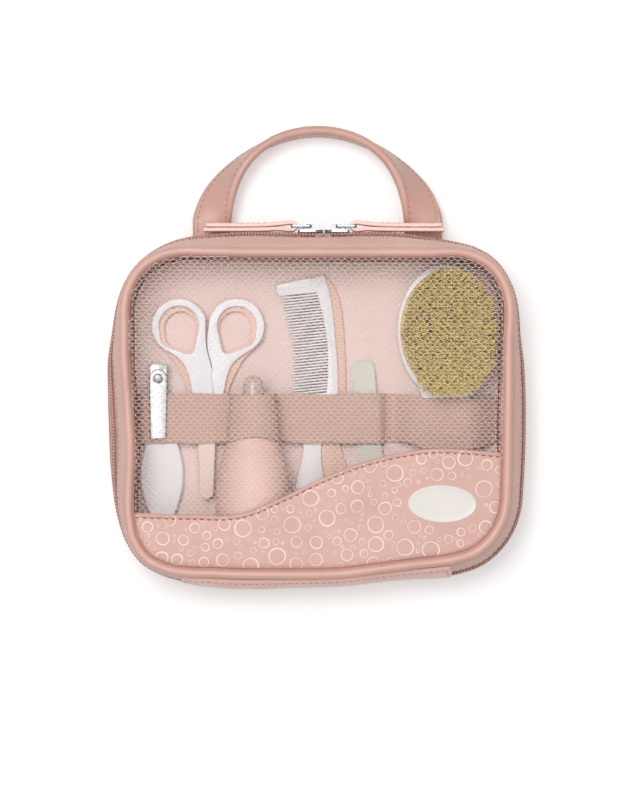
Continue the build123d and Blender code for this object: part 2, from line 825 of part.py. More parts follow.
def blade_cap():
    """The cap over the closed blades, open at its top end."""
    middle = tool_z + handle_thickness / 2
    foot_radius = cap_bottom_width / 2
    foot = Pos(cap_x, cap_bottom_y + foot_radius) * Circle(foot_radius)
    mouth = Pos(cap_x, cap_top_y - cap_wall / 2) * Rectangle(cap_top_width, cap_wall)
    outline = make_hull(foot.edges() + mouth.edges())
    inside = Pos(cap_x, cap_bottom_y + foot_radius) * Circle(foot_radius - cap_wall)
    inside_mouth = Pos(cap_x, cap_top_y) * Rectangle(cap_top_width - 2 * cap_wall, 2 * cap_wall)
    hollow = make_hull(inside.edges() + inside_mouth.edges())
    blades = blade_thickness + blade_gap / 2 + slider_clearance
    cap = slab(outline, middle - cap_thickness / 2, middle + cap_thickness / 2)
    save(cap - slab(hollow, middle - blades, middle + blades), "blade_cap")


def aspirator():
    """The nasal aspirator: a hollow soft bulb and the hard nozzle plugged into its neck."""
    axis = Plane((aspirator_x, 0, tool_z + bulb_radius), x_dir=(1, 0, 0), z_dir=(0, 0, 1))
    spine = Axis((aspirator_x, 0, tool_z + bulb_radius), (0, 1, 0))
    outer = bulb_face(0) - bulb_face(bulb_wall)
    plug_low = bulb_neck_top_y - nozzle_plug_length
    socket = Pos(nozzle_plug_radius / 2, bulb_neck_top_y) * Rectangle(nozzle_plug_radius, 4 * bulb_wall)
    save(revolve(axis * (outer - socket), spine), "aspirator_bulb")
    flange_top = bulb_neck_top_y + nozzle_flange
    dome = nozzle_top_y - nozzle_radius
    skirt = make_face(
        Polyline(
            (nozzle_bore / 2, plug_low),
            (nozzle_plug_radius, plug_low),
            (nozzle_plug_radius, bulb_neck_top_y),
            (bulb_neck_radius, bulb_neck_top_y),
            (bulb_neck_radius, flange_top),
            (nozzle_radius + nozzle_flange / 2, flange_top),
            (nozzle_radius, dome),
            (nozzle_bore / 2, dome),
            close=True,
        )
    )
    quarter = Rectangle(nozzle_radius - nozzle_bore / 2, nozzle_radius, align=Align.MIN)
    tip = Pos(0, dome) * Circle(nozzle_radius) & Pos(nozzle_bore / 2, dome) * quarter
    save(revolve(axis * (skirt + tip), spine), "aspirator_nozzle")


def bulb_face(inset):
    """The half section of the bulb, from its axis outwards, shrunk by inset."""
    base_y = bulb_bottom_y + inset
    side = bulb_radius - inset
    corner = bulb_radius / 2
    curve = Spline(
        (bulb_neck_radius - inset, bulb_neck_y),
        (bulb_shoulder_radius - inset, bulb_shoulder_y),
        (side, bulb_widest_y),
        tangents=((0.1, -1), (0, -1)),
    )
    round_start = (side, base_y + corner)
    round_end = (side - corner, base_y)
    middle = (side - corner * (1 - cos(radians(45))), base_y + corner * (1 - sin(radians(45))))
    neck_top = bulb_neck_top_y - inset
    return make_face(
        [
            Line((0, neck_top), (bulb_neck_radius - inset, neck_top)),
            Line((bulb_neck_radius - inset, neck_top), (bulb_neck_radius - inset, bulb_neck_y)),
            curve.edge(),
            Line((side, bulb_widest_y), round_start),
            ThreePointArc(round_start, middle, round_end),
            Line(round_end, (0, base_y)),
            Line((0, base_y), (0, neck_top)),
        ]
    )


def comb_outline():
    """The whole comb seen from the front, its teeth as one solid field."""
    right = Spline(comb_shoulder, *comb_right_edge)
    left = Spline(*comb_left_edge, comb_tip)
    foot = ThreePointArc(right @ 1, comb_foot, left @ 0)
    return make_face([right.edge(), foot.edge(), left.edge(), Line(comb_tip, comb_shoulder).edge()])


def comb_split():
    """The area to the left of the seam between the white front and the peach back."""
    seam = Spline(comb_shoulder, *comb_seam)
    far = case_height
    low_x = comb_seam[-1][0]
    high_x = comb_shoulder[0]
    rest = Polyline(comb_seam[-1], (low_x, -far), (-far, -far), (-far, far), (high_x, far), comb_shoulder)
    return make_face([seam.edge(), *rest.edges()])


def comb():
    """The comb: a white toothed front laminated on a peach back that shows along the right."""
    whole = comb_outline()
    white = whole & comb_split()
    backed = whole - Pos(-comb_lap, 0) * comb_split()
    pitch = (comb_roots[-1][1] - comb_roots[0][1]) / (comb_teeth - 1)
    gap = pitch - comb_tooth
    roots = Spline(*comb_roots)
    slots = []
    for i in range(comb_teeth):
        share = i / (comb_teeth - 1)
        root = roots @ share
        slot = Pos(root.X, root.Y) * Rot(0, 0, comb_tooth_tilt)
        slots.append(slot * Rectangle(case_height, gap, align=(Align.MAX, Align.CENTER)))
    middle = tool_z + comb_back_thickness
    front = slab(white - slots, middle, middle + comb_white_thickness)
    lower = (white - backed) & Pos(0, comb_foot[1] / 2) * Rectangle(case_height, -comb_foot[1])
    front += slab(lower, tool_z, middle)
    save(front, "comb_front")
    save(slab(backed, tool_z, middle), "comb_back")


def nail_files():
    """A stack of thin boards, fanned a little, each wider at its foot than at its tip."""
    run = file_length - file_top_radius - file_bottom_radius
    for i in range(file_count):
        x = file_top[0] - (file_count - 1 - i) * file_fan
        tip = Pos(x, file_top[1]) * Circle(file_top_radius)
        foot = Pos(x + run * sin(radians(file_lean)), file_top[1] - run * cos(radians(file_lean)))
        outline = make_hull(tip.edges() + (foot * Circle(file_bottom_radius)).edges())
        z = tool_z + i * (file_thickness + file_gap)
        save(slab(outline, z, z + file_thickness), f"nail_file_{i + 1}")


def brush_outline():
    """The brush seen from the front: an oval head on a long waisted handle."""
    head = Pos(brush_x, brush_head_y) * Ellipse(brush_head_width / 2, brush_head_length / 2)
    top = brush_head_y - brush_head_length * 0.3
    right = Spline(
        (brush_x + brush_neck_width * 0.75, top),
        (brush_x + brush_neck_width / 2, brush_neck_y),
        (brush_x + brush_handle_width / 2, brush_handle_y),
        (brush_x + brush_foot_width / 2, brush_foot_y + brush_foot_width / 4),
    )
    left = mirror(right, Plane.YZ.offset(brush_x))
    foot = ThreePointArc(right @ 1, (brush_x, brush_foot_y), left @ 1)
    handle_face = make_face([right.edge(), foot.edge(), left.edge(), Line(left @ 0, right @ 0).edge()])
    return head + handle_face


def brush():
    """The baby brush: a moulded body and, in its head, the pad with its bristle strands."""
    body = slab(brush_outline(), tool_z, tool_z + brush_thickness)
    body = fillet(body.faces().sort_by(Axis.Z)[0].edges(), brush_edge)
    body = fillet(body.faces().sort_by(Axis.Z)[-1].edges(), brush_edge / 2)
    save(body, "brush_body")
    top = tool_z + brush_thickness
    pad = Pos(brush_x, brush_head_y, top + pad_thickness / 2) * extrude(
        Ellipse(pad_width / 2, pad_length / 2), pad_thickness / 2, both=True
    )
    strands = bristle_strands(top + pad_thickness)
    print("bristle strands", len(strands))
    save(pad.fuse(*strands), "brush_bristles")


def bristle_strands(foot):
    """Three-sided strands in staggered rows, all leaning a little and spread towards their tips."""
    strands = []
    row_pitch = bristle_pitch * sqrt(3) / 2
    rows = int(pad_length / 2 / row_pitch)
    columns = int(pad_width / 2 / bristle_pitch) + 1
    for row in range(-rows, rows + 1):
        for column in range(-columns, columns + 1):
            x = (column + row % 2 / 2) * bristle_pitch
            y = row * row_pitch
            if hypot(x / (pad_width / 2 - bristle_margin), y / (pad_length / 2 - bristle_margin)) > 1:
                continue
            along = Vector(bristle_lean + x * bristle_splay, y * bristle_splay, 1)
            place = Pos(brush_x + x, brush_head_y + y, foot - bristle_root)
            reach = (bristle_length + bristle_root) * along.length
            strands.append(extrude(place * RegularPolygon(bristle_radius, 3), reach, dir=along))
    return strands


def main():
    os.makedirs("parts", exist_ok=True)
    back_half()
    for name, shape in edge_pieces().items():
        save(shape, f"{name}_back")
        save(flip(shape), f"{name}_lid")
    net_and_panel()
    for side, name in ((-1, "left"), (1, "right")):
        save(slider(side), f"slider_{name}")
        pull(side, name)
    handle()
    elastic_band()
    clipper()
    scissors()
    blade_cap()
    aspirator()
    comb()
    nail_files()
    brush()


main()
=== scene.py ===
"""Looks of the baby grooming kit: leatherette, net, zip, stitches, tools and their materials.

Lengths are in millimetres here and become metres where a mesh is made.
"""

import json
import math
import random

import bmesh
import bpy
import numpy as np
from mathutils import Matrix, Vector, noise
from mathutils.geometry import tessellate_polygon


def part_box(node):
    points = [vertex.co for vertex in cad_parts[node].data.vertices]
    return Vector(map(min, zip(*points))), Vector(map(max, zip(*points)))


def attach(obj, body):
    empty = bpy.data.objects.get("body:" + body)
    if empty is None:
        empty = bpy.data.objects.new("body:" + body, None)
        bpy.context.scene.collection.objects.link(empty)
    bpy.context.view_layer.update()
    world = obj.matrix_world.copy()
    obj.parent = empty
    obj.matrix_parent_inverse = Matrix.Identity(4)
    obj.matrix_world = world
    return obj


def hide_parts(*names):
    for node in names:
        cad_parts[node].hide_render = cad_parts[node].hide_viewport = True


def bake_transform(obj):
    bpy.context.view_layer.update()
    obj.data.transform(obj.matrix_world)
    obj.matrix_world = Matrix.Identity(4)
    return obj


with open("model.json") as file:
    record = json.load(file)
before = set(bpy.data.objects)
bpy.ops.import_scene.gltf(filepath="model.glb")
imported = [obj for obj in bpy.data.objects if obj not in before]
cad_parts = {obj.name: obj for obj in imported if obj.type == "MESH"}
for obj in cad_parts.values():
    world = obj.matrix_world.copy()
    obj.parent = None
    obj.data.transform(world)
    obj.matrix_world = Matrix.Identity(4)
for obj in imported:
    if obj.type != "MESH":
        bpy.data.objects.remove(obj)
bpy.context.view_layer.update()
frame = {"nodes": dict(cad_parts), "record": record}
NODES = frame["nodes"]
BODY = {node: body for body, names in frame["record"]["behaviour"]["bodies"].items() for node in names}
MM = 0.001

# The case as in the CAD: half its height, its corners, its depth, its piping and its wall's round section
HALF_Y, TOP_R, BOTTOM_R = 80.0, 36.0, 40.0
DEPTH = 50.0
PIPE_R = 2.25
LEVEL = DEPTH - PIPE_R
WALL_R, WALL_X = 35.24, -28.84
WALL_LOW, WALL_HIGH = 3.5, 46.5

# The lining's face, where the zip ends along the seam, and the panel: how far its rim lies inside the
# seam, how far its stitches lie below the wave, and its badge
LINING_Z = 8.0
ZIP_END = 65.2
PANEL_INSET, SEWN_IN = 4.45, 2.15
BADGE_X, BADGE_Y = 60, -44.4

# The bulb's axis, the elastic band's edges, the scissors' middle and the top of their CAD shanks
BULB_X, BULB_Z = -31.5, 26.6
BAND_LOW, BAND_HIGH, BAND_WIDE = -14.9, 8.5, 23.4
SCISSORS_X, SHANK_Y = -54.0, 6.2

# Angles between faces, in degrees: below which they are one face, above which their edge is rounded,
# and above which it is shaded as sharp
FLAT, ROUNDED, SHARP = 0.6, 32, 42


# Colours and shader nodes
def rgb(r, g, b):
    """An sRGB colour, 0 to 255, as linear."""
    out = []
    for c in (r, g, b):
        c /= 255
        out.append(c / 12.92 if c <= 0.04045 else ((c + 0.055) / 1.055) ** 2.4)
    return (*out, 1.0)


def shade(color, k):
    return tuple(min(1.0, c * k) for c in color[:3]) + (1.0,)


class Shader:
    """A material being put together."""

    def __init__(self, name, rough=0.5, **sockets):
        self.mat = bpy.data.materials.new(name)
        self.mat.use_nodes = True
        self.tree = self.mat.node_tree
        self.bsdf = self.tree.nodes["Principled BSDF"]
        self.bsdf.inputs["Roughness"].default_value = rough
        for key, value in sockets.items():
            self.bsdf.inputs[key.replace("_", " ")].default_value = value
        self.coord = self.tree.nodes.new("ShaderNodeTexCoord")

    def node(self, kind, props=None, **inputs):
        """A new node. An input is named, or i and its number."""
        n = self.tree.nodes.new("ShaderNode" + kind)
        for key, value in (props or {}).items():
            setattr(n, key, value)
        for key, value in inputs.items():
            numbered = key[0] == "i" and key[1:].isdigit()
            socket = n.inputs[int(key[1:]) if numbered else key.replace("_", " ")]
            if isinstance(value, bpy.types.NodeSocket):
                self.tree.links.new(value, socket)
            else:
                socket.default_value = value
        return n

    def math(self, op, a, b=0.0):
        return self.node("Math", {"operation": op}, i0=a, i1=b).outputs[0]

    def add(self, a, b):
        return self.math("ADD", a, b)

    def mul(self, a, b):
        return self.math("MULTIPLY", a, b)

    def mix(self, factor, a, b):
        return self.node("Mix", {"data_type": "RGBA"}, i0=factor, i6=a, i7=b).outputs[2]

    def noise(self, scale, detail=2.0, vector=None):
        vector = vector or self.coord.outputs["Object"]
        return self.node("TexNoise", Vector=vector, Scale=scale, Detail=detail).outputs["Fac"]

    def voronoi(self, scale, feature="F1"):
        vector = self.coord.outputs["Object"]
        return self.node("TexVoronoi", {"feature": feature}, Vector=vector, Scale=scale).outputs["Distance"]

    def ramp(self, value, low, high, a=0.0, b=1.0):
        return self.node("MapRange", i0=value, i1=low, i2=high, i3=a, i4=b).outputs[0]

    def shades(self, value, color, dark, light, low=0.3, high=0.7):
        """From one shade of a colour to another as the value goes from low to high."""
        return self.mix(self.ramp(value, low, high), shade(color, dark), shade(color, light))

    def done(self, color, height, depth_mm, rough=None):
        """The material with its colour, its bumps and, where given, its uneven roughness."""
        bump = self.node("Bump", Height=height, Strength=1.0, Distance=depth_mm * MM)
        for key, value in (("Base Color", color), ("Normal", bump.outputs[0]), ("Roughness", rough)):
            if value is not None:
                self.tree.links.new(value, self.bsdf.inputs[key])
        return self.mat

    def uv(self):
        """The two surface lengths of a swept piece, in metres."""
        return self.node("SeparateXYZ", i0=self.coord.outputs["UV"]).outputs[:2]

    def twist(self, along):
        """The twist of a thread, as stripes that run round it."""
        u, v = self.uv()
        return self.math("SINE", self.add(self.mul(u, along), self.mul(v, 9000)))


def leather(name, color, grain=1.1, depth=0.05, rough=0.48):
    s = Shader(name, rough, Sheen_Weight=0.08, Sheen_Roughness=0.4, Coat_Weight=0.06, Coat_Roughness=0.35)
    cells = s.voronoi(1000 / grain, "SMOOTH_F1")
    tint = s.shades(s.noise(38, 3.0), color, 0.945, 1.05)
    tint = s.mix(s.mul(s.ramp(cells, 0.1, 0.75), 0.10), tint, shade(color, 0.66))
    worn = s.mul(s.ramp(s.noise(160, 4.0), 0.4, 0.62), 0.10)
    height = s.math("SUBTRACT", s.mul(s.noise(4200), 0.35), s.mul(cells, 0.9))
    height = s.add(height, s.mul(s.noise(420, 3.0), 0.8))
    return s.done(tint, height, depth, s.add(worn, rough - 0.05))


def thread(name, color):
    s = Shader(name, 0.6, Sheen_Weight=0.2)
    twist = s.twist(12000)
    return s.done(s.shades(twist, color, 0.82, 1.06, -1, 1), twist, 0.05)


def net_yarn():
    """Fine pale polyester yarn with its filaments."""
    s = Shader("net_yarn", 0.75, Specular_IOR_Level=0.25, Sheen_Weight=0.3)
    pale = rgb(255, 240, 234)
    tint = s.shades(s.noise(900), pale, 0.92, 1.0)
    twist = s.ramp(s.twist(14000), -1, 1, 0.0, 0.25)
    s.tree.links.new(s.mix(twist, tint, shade(pale, 0.85)), s.bsdf.inputs["Base Color"])
    return s.mat


def weave(name, color, pitch, rough=0.75, depth=0.09, zigzag=0.0, contrast=0.24):
    """Woven cloth on a swept piece: ribs along its length, crossed by threads, as chevrons where asked."""
    s = Shader(name, rough, Sheen_Weight=0.25, Sheen_Roughness=0.5)
    u, v = s.uv()
    k = 2 * math.pi / (pitch * MM)
    across = s.mul(v, k)
    if zigzag:
        across = s.add(across, s.mul(s.math("PINGPONG", u, zigzag * MM), k * 0.9))
    cross = s.math("SINE", s.mul(u, k * 1.3))
    height = s.add(s.math("SINE", across), s.mul(cross, 0.55))
    fuzz = s.noise(700, 3.0)
    tint = s.shades(height, color, 1 - contrast, 1 + contrast * 0.4, -1.5, 1.5)
    tint = s.mix(s.ramp(fuzz, 0.35, 0.7, 0.0, 0.2), tint, shade(color, 0.8))
    return s.done(tint, s.add(height, fuzz), depth)


def lining_cloth(name, color):
    """Satin lining with a fine diamond figure woven in."""
    s = Shader(name, 0.62, Sheen_Weight=0.3, Sheen_Roughness=0.4)
    x, y = s.node("SeparateXYZ", i0=s.coord.outputs["Object"]).outputs[:2]
    k = 2 * math.pi / (2.1 * MM)
    a, b = (s.math("SINE", s.mul(s.math(op, x, y), k)) for op in ("ADD", "SUBTRACT"))
    figure = s.math("MAXIMUM", a, b)
    tint = s.shades(s.noise(30, 3.0), color, 0.95, 1.04)
    tint = s.mix(s.ramp(figure, 0.3, 1.0, 0.0, 0.35), tint, shade(color, 1.12))
    tint = s.mix(s.ramp(s.noise(900), 0.4, 0.65, 0.0, 0.22), tint, shade(color, 0.84))
    return s.done(tint, s.add(figure, s.noise(1500)), 0.05)


def moulded(name, color, rough=0.3, grain=0.012, sss=0.0):
    s = Shader(name, rough, Coat_Weight=0.12, Coat_Roughness=0.2, Specular_IOR_Level=0.45)
    if sss:
        for key, value in (("Weight", sss), ("Radius", (1.0, 0.6, 0.5)), ("Scale", 1.2 * MM)):
            s.bsdf.inputs["Subsurface " + key].default_value = value
    flow = s.noise(55, 3.0)
    scuff = s.mul(s.ramp(s.noise(350, 4.0), 0.45, 0.7), 0.1)
    height = s.add(s.noise(2600), s.mul(flow, 0.6))
    return s.done(s.shades(flow, color, 0.97, 1.012), height, grain, s.add(scuff, rough))


def metal(name, color, rough=0.2, brushed=0.0, dirt=0.25, metallic=1.0):
    s = Shader(name, rough, Metallic=metallic)
    stretched = s.node("Mapping", Vector=s.coord.outputs["Object"], Scale=(1.0, 0.04, 1.0)).outputs[0]
    lines = s.noise(9000, vector=stretched)
    spots = s.ramp(s.noise(500, 4.0), 0.5, 0.75)
    tint = s.mix(s.mul(spots, dirt), color, shade(color, 0.72))
    height = s.add(s.mul(lines, brushed * 6), s.noise(260))
    return s.done(tint, height, 0.01, s.add(s.mul(spots, 0.3 * dirt), s.add(s.mul(lines, brushed), rough)))


def file_grit():
    s = Shader("file_grit", 0.85)
    grit = s.voronoi(5200)
    return s.done(s.shades(grit, rgb(247, 247, 234), 1.05, 0.78, 0.2, 0.9), grit, 0.12)


def hair():
    s = Shader("bristle_hair", 0.5, Sheen_Weight=0.2)
    tone, height = (s.node("Attribute", {"attribute_name": key}).outputs["Fac"] for key in ("tone", "height"))
    tint = s.mix(tone, rgb(252, 220, 118), rgb(255, 246, 156))
    return s.done(s.mix(height, rgb(240, 206, 138), tint), s.noise(6000), 0.02)


def clear():
    s = Shader("clear_plastic", 0.18, Transmission_Weight=0.3, IOR=1.46)
    return s.done(s.shades(s.noise(60), rgb(248, 222, 212), 1.0, 0.95), s.noise(300), 0.02)


def board():
    s = Shader("grey_board", 0.9)
    grey = rgb(176, 168, 158)
    return s.done(s.mix(s.noise(400, 4.0), shade(grey, 0.85), shade(grey, 1.1)), s.noise(1200, 3.0), 0.1)


LEATHER = leather("leatherette", rgb(214, 168, 154))
WALL = leather("leatherette_wall", rgb(230, 187, 173))
# A lighter copy of the leatherette for the hinge strip: painted light that lifts the shade on the case's
# side.
STRIP_PAINTED_LIGHT = leather("leatherette_strip_painted_light", rgb(249, 203, 190), 1.0, 0.04, 0.45)
TAB = leather("leatherette_tab", rgb(251, 211, 198), 1.0, 0.05, 0.45)
PIPING = leather("leatherette_piping", rgb(221, 174, 161), 0.9, 0.035, 0.42)
PANEL = leather("leatherette_panel", rgb(216, 171, 159), 1.0, 0.04, 0.45)
STRAP = leather("leatherette_strap", rgb(212, 168, 155), 1.0, 0.05, 0.45)
# Darker leatherette for the net's binding strip: painted shade, so that its rim reads as the shadow line
# along the piping.
BINDING_PAINTED_SHADE = leather("leatherette_binding_painted_shade", rgb(208, 162, 149), 1.2, 0.05, 0.55)
SEAM = thread("seam_thread", rgb(190, 132, 120))
DARK_SEAM = thread("dark_thread", rgb(134, 82, 74))
TAPE = weave("tape_weave", rgb(240, 196, 183), 0.55)
COIL = moulded("coil_nylon", rgb(240, 196, 184), 0.38)
BAND = weave("elastic_weave", rgb(240, 200, 184), 0.95, 0.8, 0.10, 0.9, 0.2)
LINING = lining_cloth("lining_satin", rgb(246, 221, 215))
NET = net_yarn()
WHITE = moulded("white_plastic", rgb(247, 248, 252), 0.32, sss=0.1)
PEACH = moulded("peach_plastic", rgb(240, 201, 184), 0.36, sss=0.15)
CREAM = moulded("cream_plastic", rgb(248, 226, 213), 0.36, sss=0.2)
RUBBER = moulded("bulb_rubber", rgb(247, 210, 196), 0.55, 0.03, 0.25)
CHROME = metal("chrome", (0.33, 0.335, 0.34, 1), 0.32, dirt=0.05, metallic=0.8)
# Chrome at a darker level, for the clipper's pin, with stronger random darker spots.
DARK_CHROME = metal("chrome_dark", (0.20, 0.20, 0.20, 1), 0.3, dirt=0.6)
STEEL = metal("blade_steel", (0.72, 0.73, 0.75, 1), 0.22, 0.12)
ZINC = metal("slider_zinc", (0.40, 0.44, 0.47, 1), 0.22, 0.05, 0.5)
BADGE = moulded("badge_white", rgb(230, 223, 218), 0.4)
PRINT = moulded("print_ink", rgb(249, 222, 212), 0.5, 0.02)
PALE_PRINT = moulded("print_ink_pale", rgb(238, 201, 190), 0.5, 0.02)
GRIT = file_grit()
HAIR = hair()
CLEAR = clear()
BOARD = board()


# Lines, points and meshes
def fractal(x, y, z, seed=0.0):
    return noise.fractal(Vector((x + seed, y - seed, z + 2 * seed)), 1.0, 2.0, 3)


def ripple(values, y, z):
    """Smooth noise along a row of numbers."""
    return np.array([fractal(v, y, z) for v in values])


def full_turn(n):
    return np.linspace(0, 2 * math.pi, n, endpoint=False)


def unit(v):
    """Directions, made 1 long."""
    return v / np.maximum(np.linalg.norm(v, axis=-1), 1e-9)[..., None]


def hump(x, width):
    """A smooth hump, 1 high where x is 0."""
    return np.exp(-((x / width) ** 2))


def stack(*columns):
    """Points from their coordinates."""
    return np.stack(np.broadcast_arrays(*columns), -1)


def raised(plan, z):
    """Points of a plan, at their heights."""
    return np.concatenate([plan, z[..., None]], -1)


def link(name, data):
    obj = bpy.data.objects.new(name, data)
    bpy.context.scene.collection.objects.link(obj)
    return obj


def make(name, verts, faces, mat, uv=None, fix=True):
    """A mesh object from points in millimetres. uv is in millimetres too, one pair to a point."""
    mesh = bpy.data.meshes.new(name)
    verts = np.asarray(verts, dtype=float) * MM
    mesh.from_pydata(verts.tolist(), [], faces)
    if uv is not None:
        layer = mesh.uv_layers.new(name="lengths")
        index = np.empty(len(mesh.loops), dtype=np.int32)
        mesh.loops.foreach_get("vertex_index", index)
        layer.data.foreach_set("uv", (np.asarray(uv, dtype=float)[index] * MM).astype(np.float32).ravel())
    if fix:
        bm = bmesh.new()
        bm.from_mesh(mesh)
        bmesh.ops.recalc_face_normals(bm, faces=bm.faces)
        bm.to_mesh(mesh)
        bm.free()
    mesh.shade_smooth()
    mesh.materials.append(mat)
    return link(name, mesh)


def grid_faces(n, k, wrap=False, first=0):
    """Faces between n rows of k points; with wrap, each row is a ring."""
    r, c = np.meshgrid(np.arange(n - 1), np.arange(k if wrap else k - 1), indexing="ij")
    c2 = (c + 1) % k
    quads = np.stack([r * k + c, (r + 1) * k + c, (r + 1) * k + c2, r * k + c2], -1).reshape(-1, 4)
    return (quads + first).tolist()


def end_faces(n, k, first=0):
    """The two faces that close n rings of k points."""
    last = first + (n - 1) * k
    return [list(range(first, first + k))[::-1], list(range(last, last + k))]


def lengths(points):
    """Distance along a row of points."""
    steps = np.linalg.norm(np.diff(points, axis=0), axis=1)
    return np.concatenate([[0.0], np.cumsum(steps)])


def tube(name, verts, along, section, mat):
    """A closed tube of rings of points, (n, k, 3), from the lengths along it and its flat section."""
    n, k, _ = verts.shape
    uv = stack(np.repeat(along, k), np.tile(lengths(section), n))
    return make(name, verts.reshape(-1, 3), grid_faces(n, k, True) + end_faces(n, k), mat, uv)


def look_up(at, along, values):
    """Values at some distances along a line."""
    return np.stack([np.interp(at, along, column) for column in np.transpose(values)], -1)


def resample(points, count):
    along = lengths(points)
    return look_up(np.linspace(0, along[-1], count), along, points)


def smooth_line(points, rounds=3):
    """Corner cutting: each round rounds the corners of a line of points."""
    p = np.asarray(points, dtype=float)
    for _ in range(rounds):
        a, b = p[:-1], p[1:]
        new = np.stack([0.75 * a + 0.25 * b, 0.25 * a + 0.75 * b], 1).reshape(-1, p.shape[1])
        p = np.concatenate([p[:1], new, p[-1:]])
    return p


def smooth_through(x, knots):
    """A smooth line through knots of x and y."""
    kx, ky = np.array(knots, dtype=float).T
    slopes = np.gradient(ky, kx)
    i = np.clip(np.searchsorted(kx, x) - 1, 0, len(kx) - 2)
    h = kx[i + 1] - kx[i]
    t = (x - kx[i]) / h
    a, b = 2 * t**3 - 3 * t**2 + 1, t**3 - 2 * t**2 + t
    return a * ky[i] + b * h * slopes[i] + (1 - a) * ky[i + 1] + (t**3 - t**2) * h * slopes[i + 1]


# The seam line that piping, wall, zip and panel follow
def half_seam():
    """Points and outward normals of its right half, from the bottom's middle to the top's middle."""
    side = np.array([0.99969, -0.02499])
    turn = math.degrees(math.atan2(side[1], side[0]))
    low = np.array([52.9875, -HALF_Y + BOTTOM_R])
    high = np.array([59.089, HALF_Y - TOP_R])
    count = 90

    def line(a, b, normal):
        t = np.linspace(0, 1, count, endpoint=False)[:, None]
        return np.array(a) + t * (np.array(b) - a), np.tile(normal, (count, 1))

    def arc(middle, radius, start, end):
        a = np.radians(np.linspace(start, end, count, endpoint=False))
        n = stack(np.cos(a), np.sin(a))
        return middle + radius * n, n

    parts = [
        line((0.0, -HALF_Y), (low[0], -HALF_Y), (0.0, -1.0)),
        arc(low, BOTTOM_R, -90.0, turn),
        line(low + BOTTOM_R * side, high + TOP_R * side, side),
        arc(high, TOP_R, turn, 90.0),
        line((high[0], HALF_Y), (0.0, HALF_Y), (0.0, 1.0)),
        ([(0.0, HALF_Y)], [(0.0, 1.0)]),
    ]
    return [np.concatenate([part[i] for part in parts]) for i in (0, 1)]


SEAM_P, SEAM_N = half_seam()
SEAM_S = lengths(SEAM_P)
HALF_S = SEAM_S[-1]
ALL_S = 2 * HALF_S

# How far an even wall stands out from the seam line at its ends and in its middle
FOOT, BULGE = -0.92, 6.4

# How the soft edge lies, as distance along half the seam from the middle of the bottom, and mm outwards:
# the seam's own shift, the wall's reach, and the part of that reach which leans down
SHIFT = {
    "right": [(0, 0.6), (12, 0.1), (28, -1.8), (44, -3.9), (58, -5.1), (69, -4.1), (80, -2.0), (94, -0.5),
              (120, 0.2), (160, -0.1), (204, 0.1), (218, 1.6), (229, 2.2), (240, 1.2), (254, -0.8),
              (276, -1.1), (HALF_S, -1.1)],
    "left": [(0, 0.6), (12, 0.7), (40, 0.5), (56, 0.1), (63, 0.9), (73, 3.0), (84, 4.7), (94, 3.8),
             (106, 1.3), (120, 0.1), (140, -1.0), (160, -0.3), (182, 0.7), (202, 0.5), (216, 1.8),
             (226, 2.4), (238, 1.6), (252, -0.1), (276, -0.9), (HALF_S, -1.1)],
}
REACH = {
    "right": [(0, 4.2), (40, 4.7), (60, 6.0), (80, 6.2), (104, 6.4), (122, 6.8), (142, 7.4), (164, 7.1),
              (182, 5.7), (194, 3.7), (207, 2.2), (236, 2.1), (248, 2.8), (262, 5.6), (276, 7.5),
              (HALF_S, 7.5)],
    "left": [(0, 4.2), (54, 4.0), (68, 2.2), (82, 1.8), (96, 2.4), (108, 4.4), (122, 7.2), (136, 8.9),
             (154, 8.8), (168, 8.0), (182, 6.8), (194, 4.5), (207, 2.1), (238, 1.8), (250, 3.9), (262, 6.0),
             (276, 7.5), (HALF_S, 7.5)],
}
LEAN = {
    "right": [(0, 0.1), (130, 0.2), (160, 0.25), (200, 0.0), (HALF_S, 0.0)],
    "left": [(0, 0.1), (108, 0.1), (128, 0.9), (172, 0.9), (196, 0.2), (HALF_S, 0.0)],
}


def folded(s):
    """Where s, in mm along the whole seam, lies on half of it, and whether that is the left half."""
    s = np.mod(np.asarray(s, dtype=float), ALL_S)
    left = s > HALF_S
    return np.where(left, ALL_S - s, s), left


def by_side(s, table):
    """A value of the soft edge, s mm along the whole seam."""
    t, left = folded(s)
    return np.where(left, smooth_through(t, table["left"]), smooth_through(t, table["right"]))


def seam(s):
    """Points and outward normals of the seam line, s mm from the middle of the bottom, to the right."""
    t, left = folded(s)
    p, n = (look_up(t, SEAM_S, values) for values in (SEAM_P, SEAM_N))
    p[left, 0] *= -1
    n[left, 0] *= -1
    return p + n * by_side(s, SHIFT)[:, None], n


def wall_out(z, inset=0.0):
    """How far an even wall stands out from the seam line at height z, inset mm below its skin."""
    z = np.asarray(z, dtype=float)
    return WALL_X + np.sqrt((WALL_R - inset) ** 2 - (z - DEPTH / 2) ** 2)


def settle(s, z):
    """What the soft wall stands out more than an even one, s mm along the seam and at height z."""
    even = np.clip((wall_out(np.clip(z, WALL_LOW, WALL_HIGH)) - FOOT) / (BULGE - FOOT), 0, 1)
    down = np.clip((WALL_HIGH - z) / (WALL_HIGH - WALL_LOW), 0, 1)
    fullest = 0.72
    rising = np.sin(0.5 * math.pi * down / fullest)
    falling = np.cos(0.5 * math.pi * (down - fullest) / 0.28)
    lean = by_side(s, LEAN)
    shape = even * (1 - lean) + np.where(down < fullest, rising, falling) * lean
    return (by_side(s, REACH) - FOOT) * shape - (BULGE - FOOT) * even


def ring_points(s, out, z, side="lid"):
    """Points along the seam, out mm from it at height z or at the same height from the back, and normals."""
    p, n = seam(s)
    z = DEPTH - z if side == "back" else z
    out = out + settle(s, z)
    return stack(*(p + n * out[:, None]).T, z), stack(*n.T, 0.0)


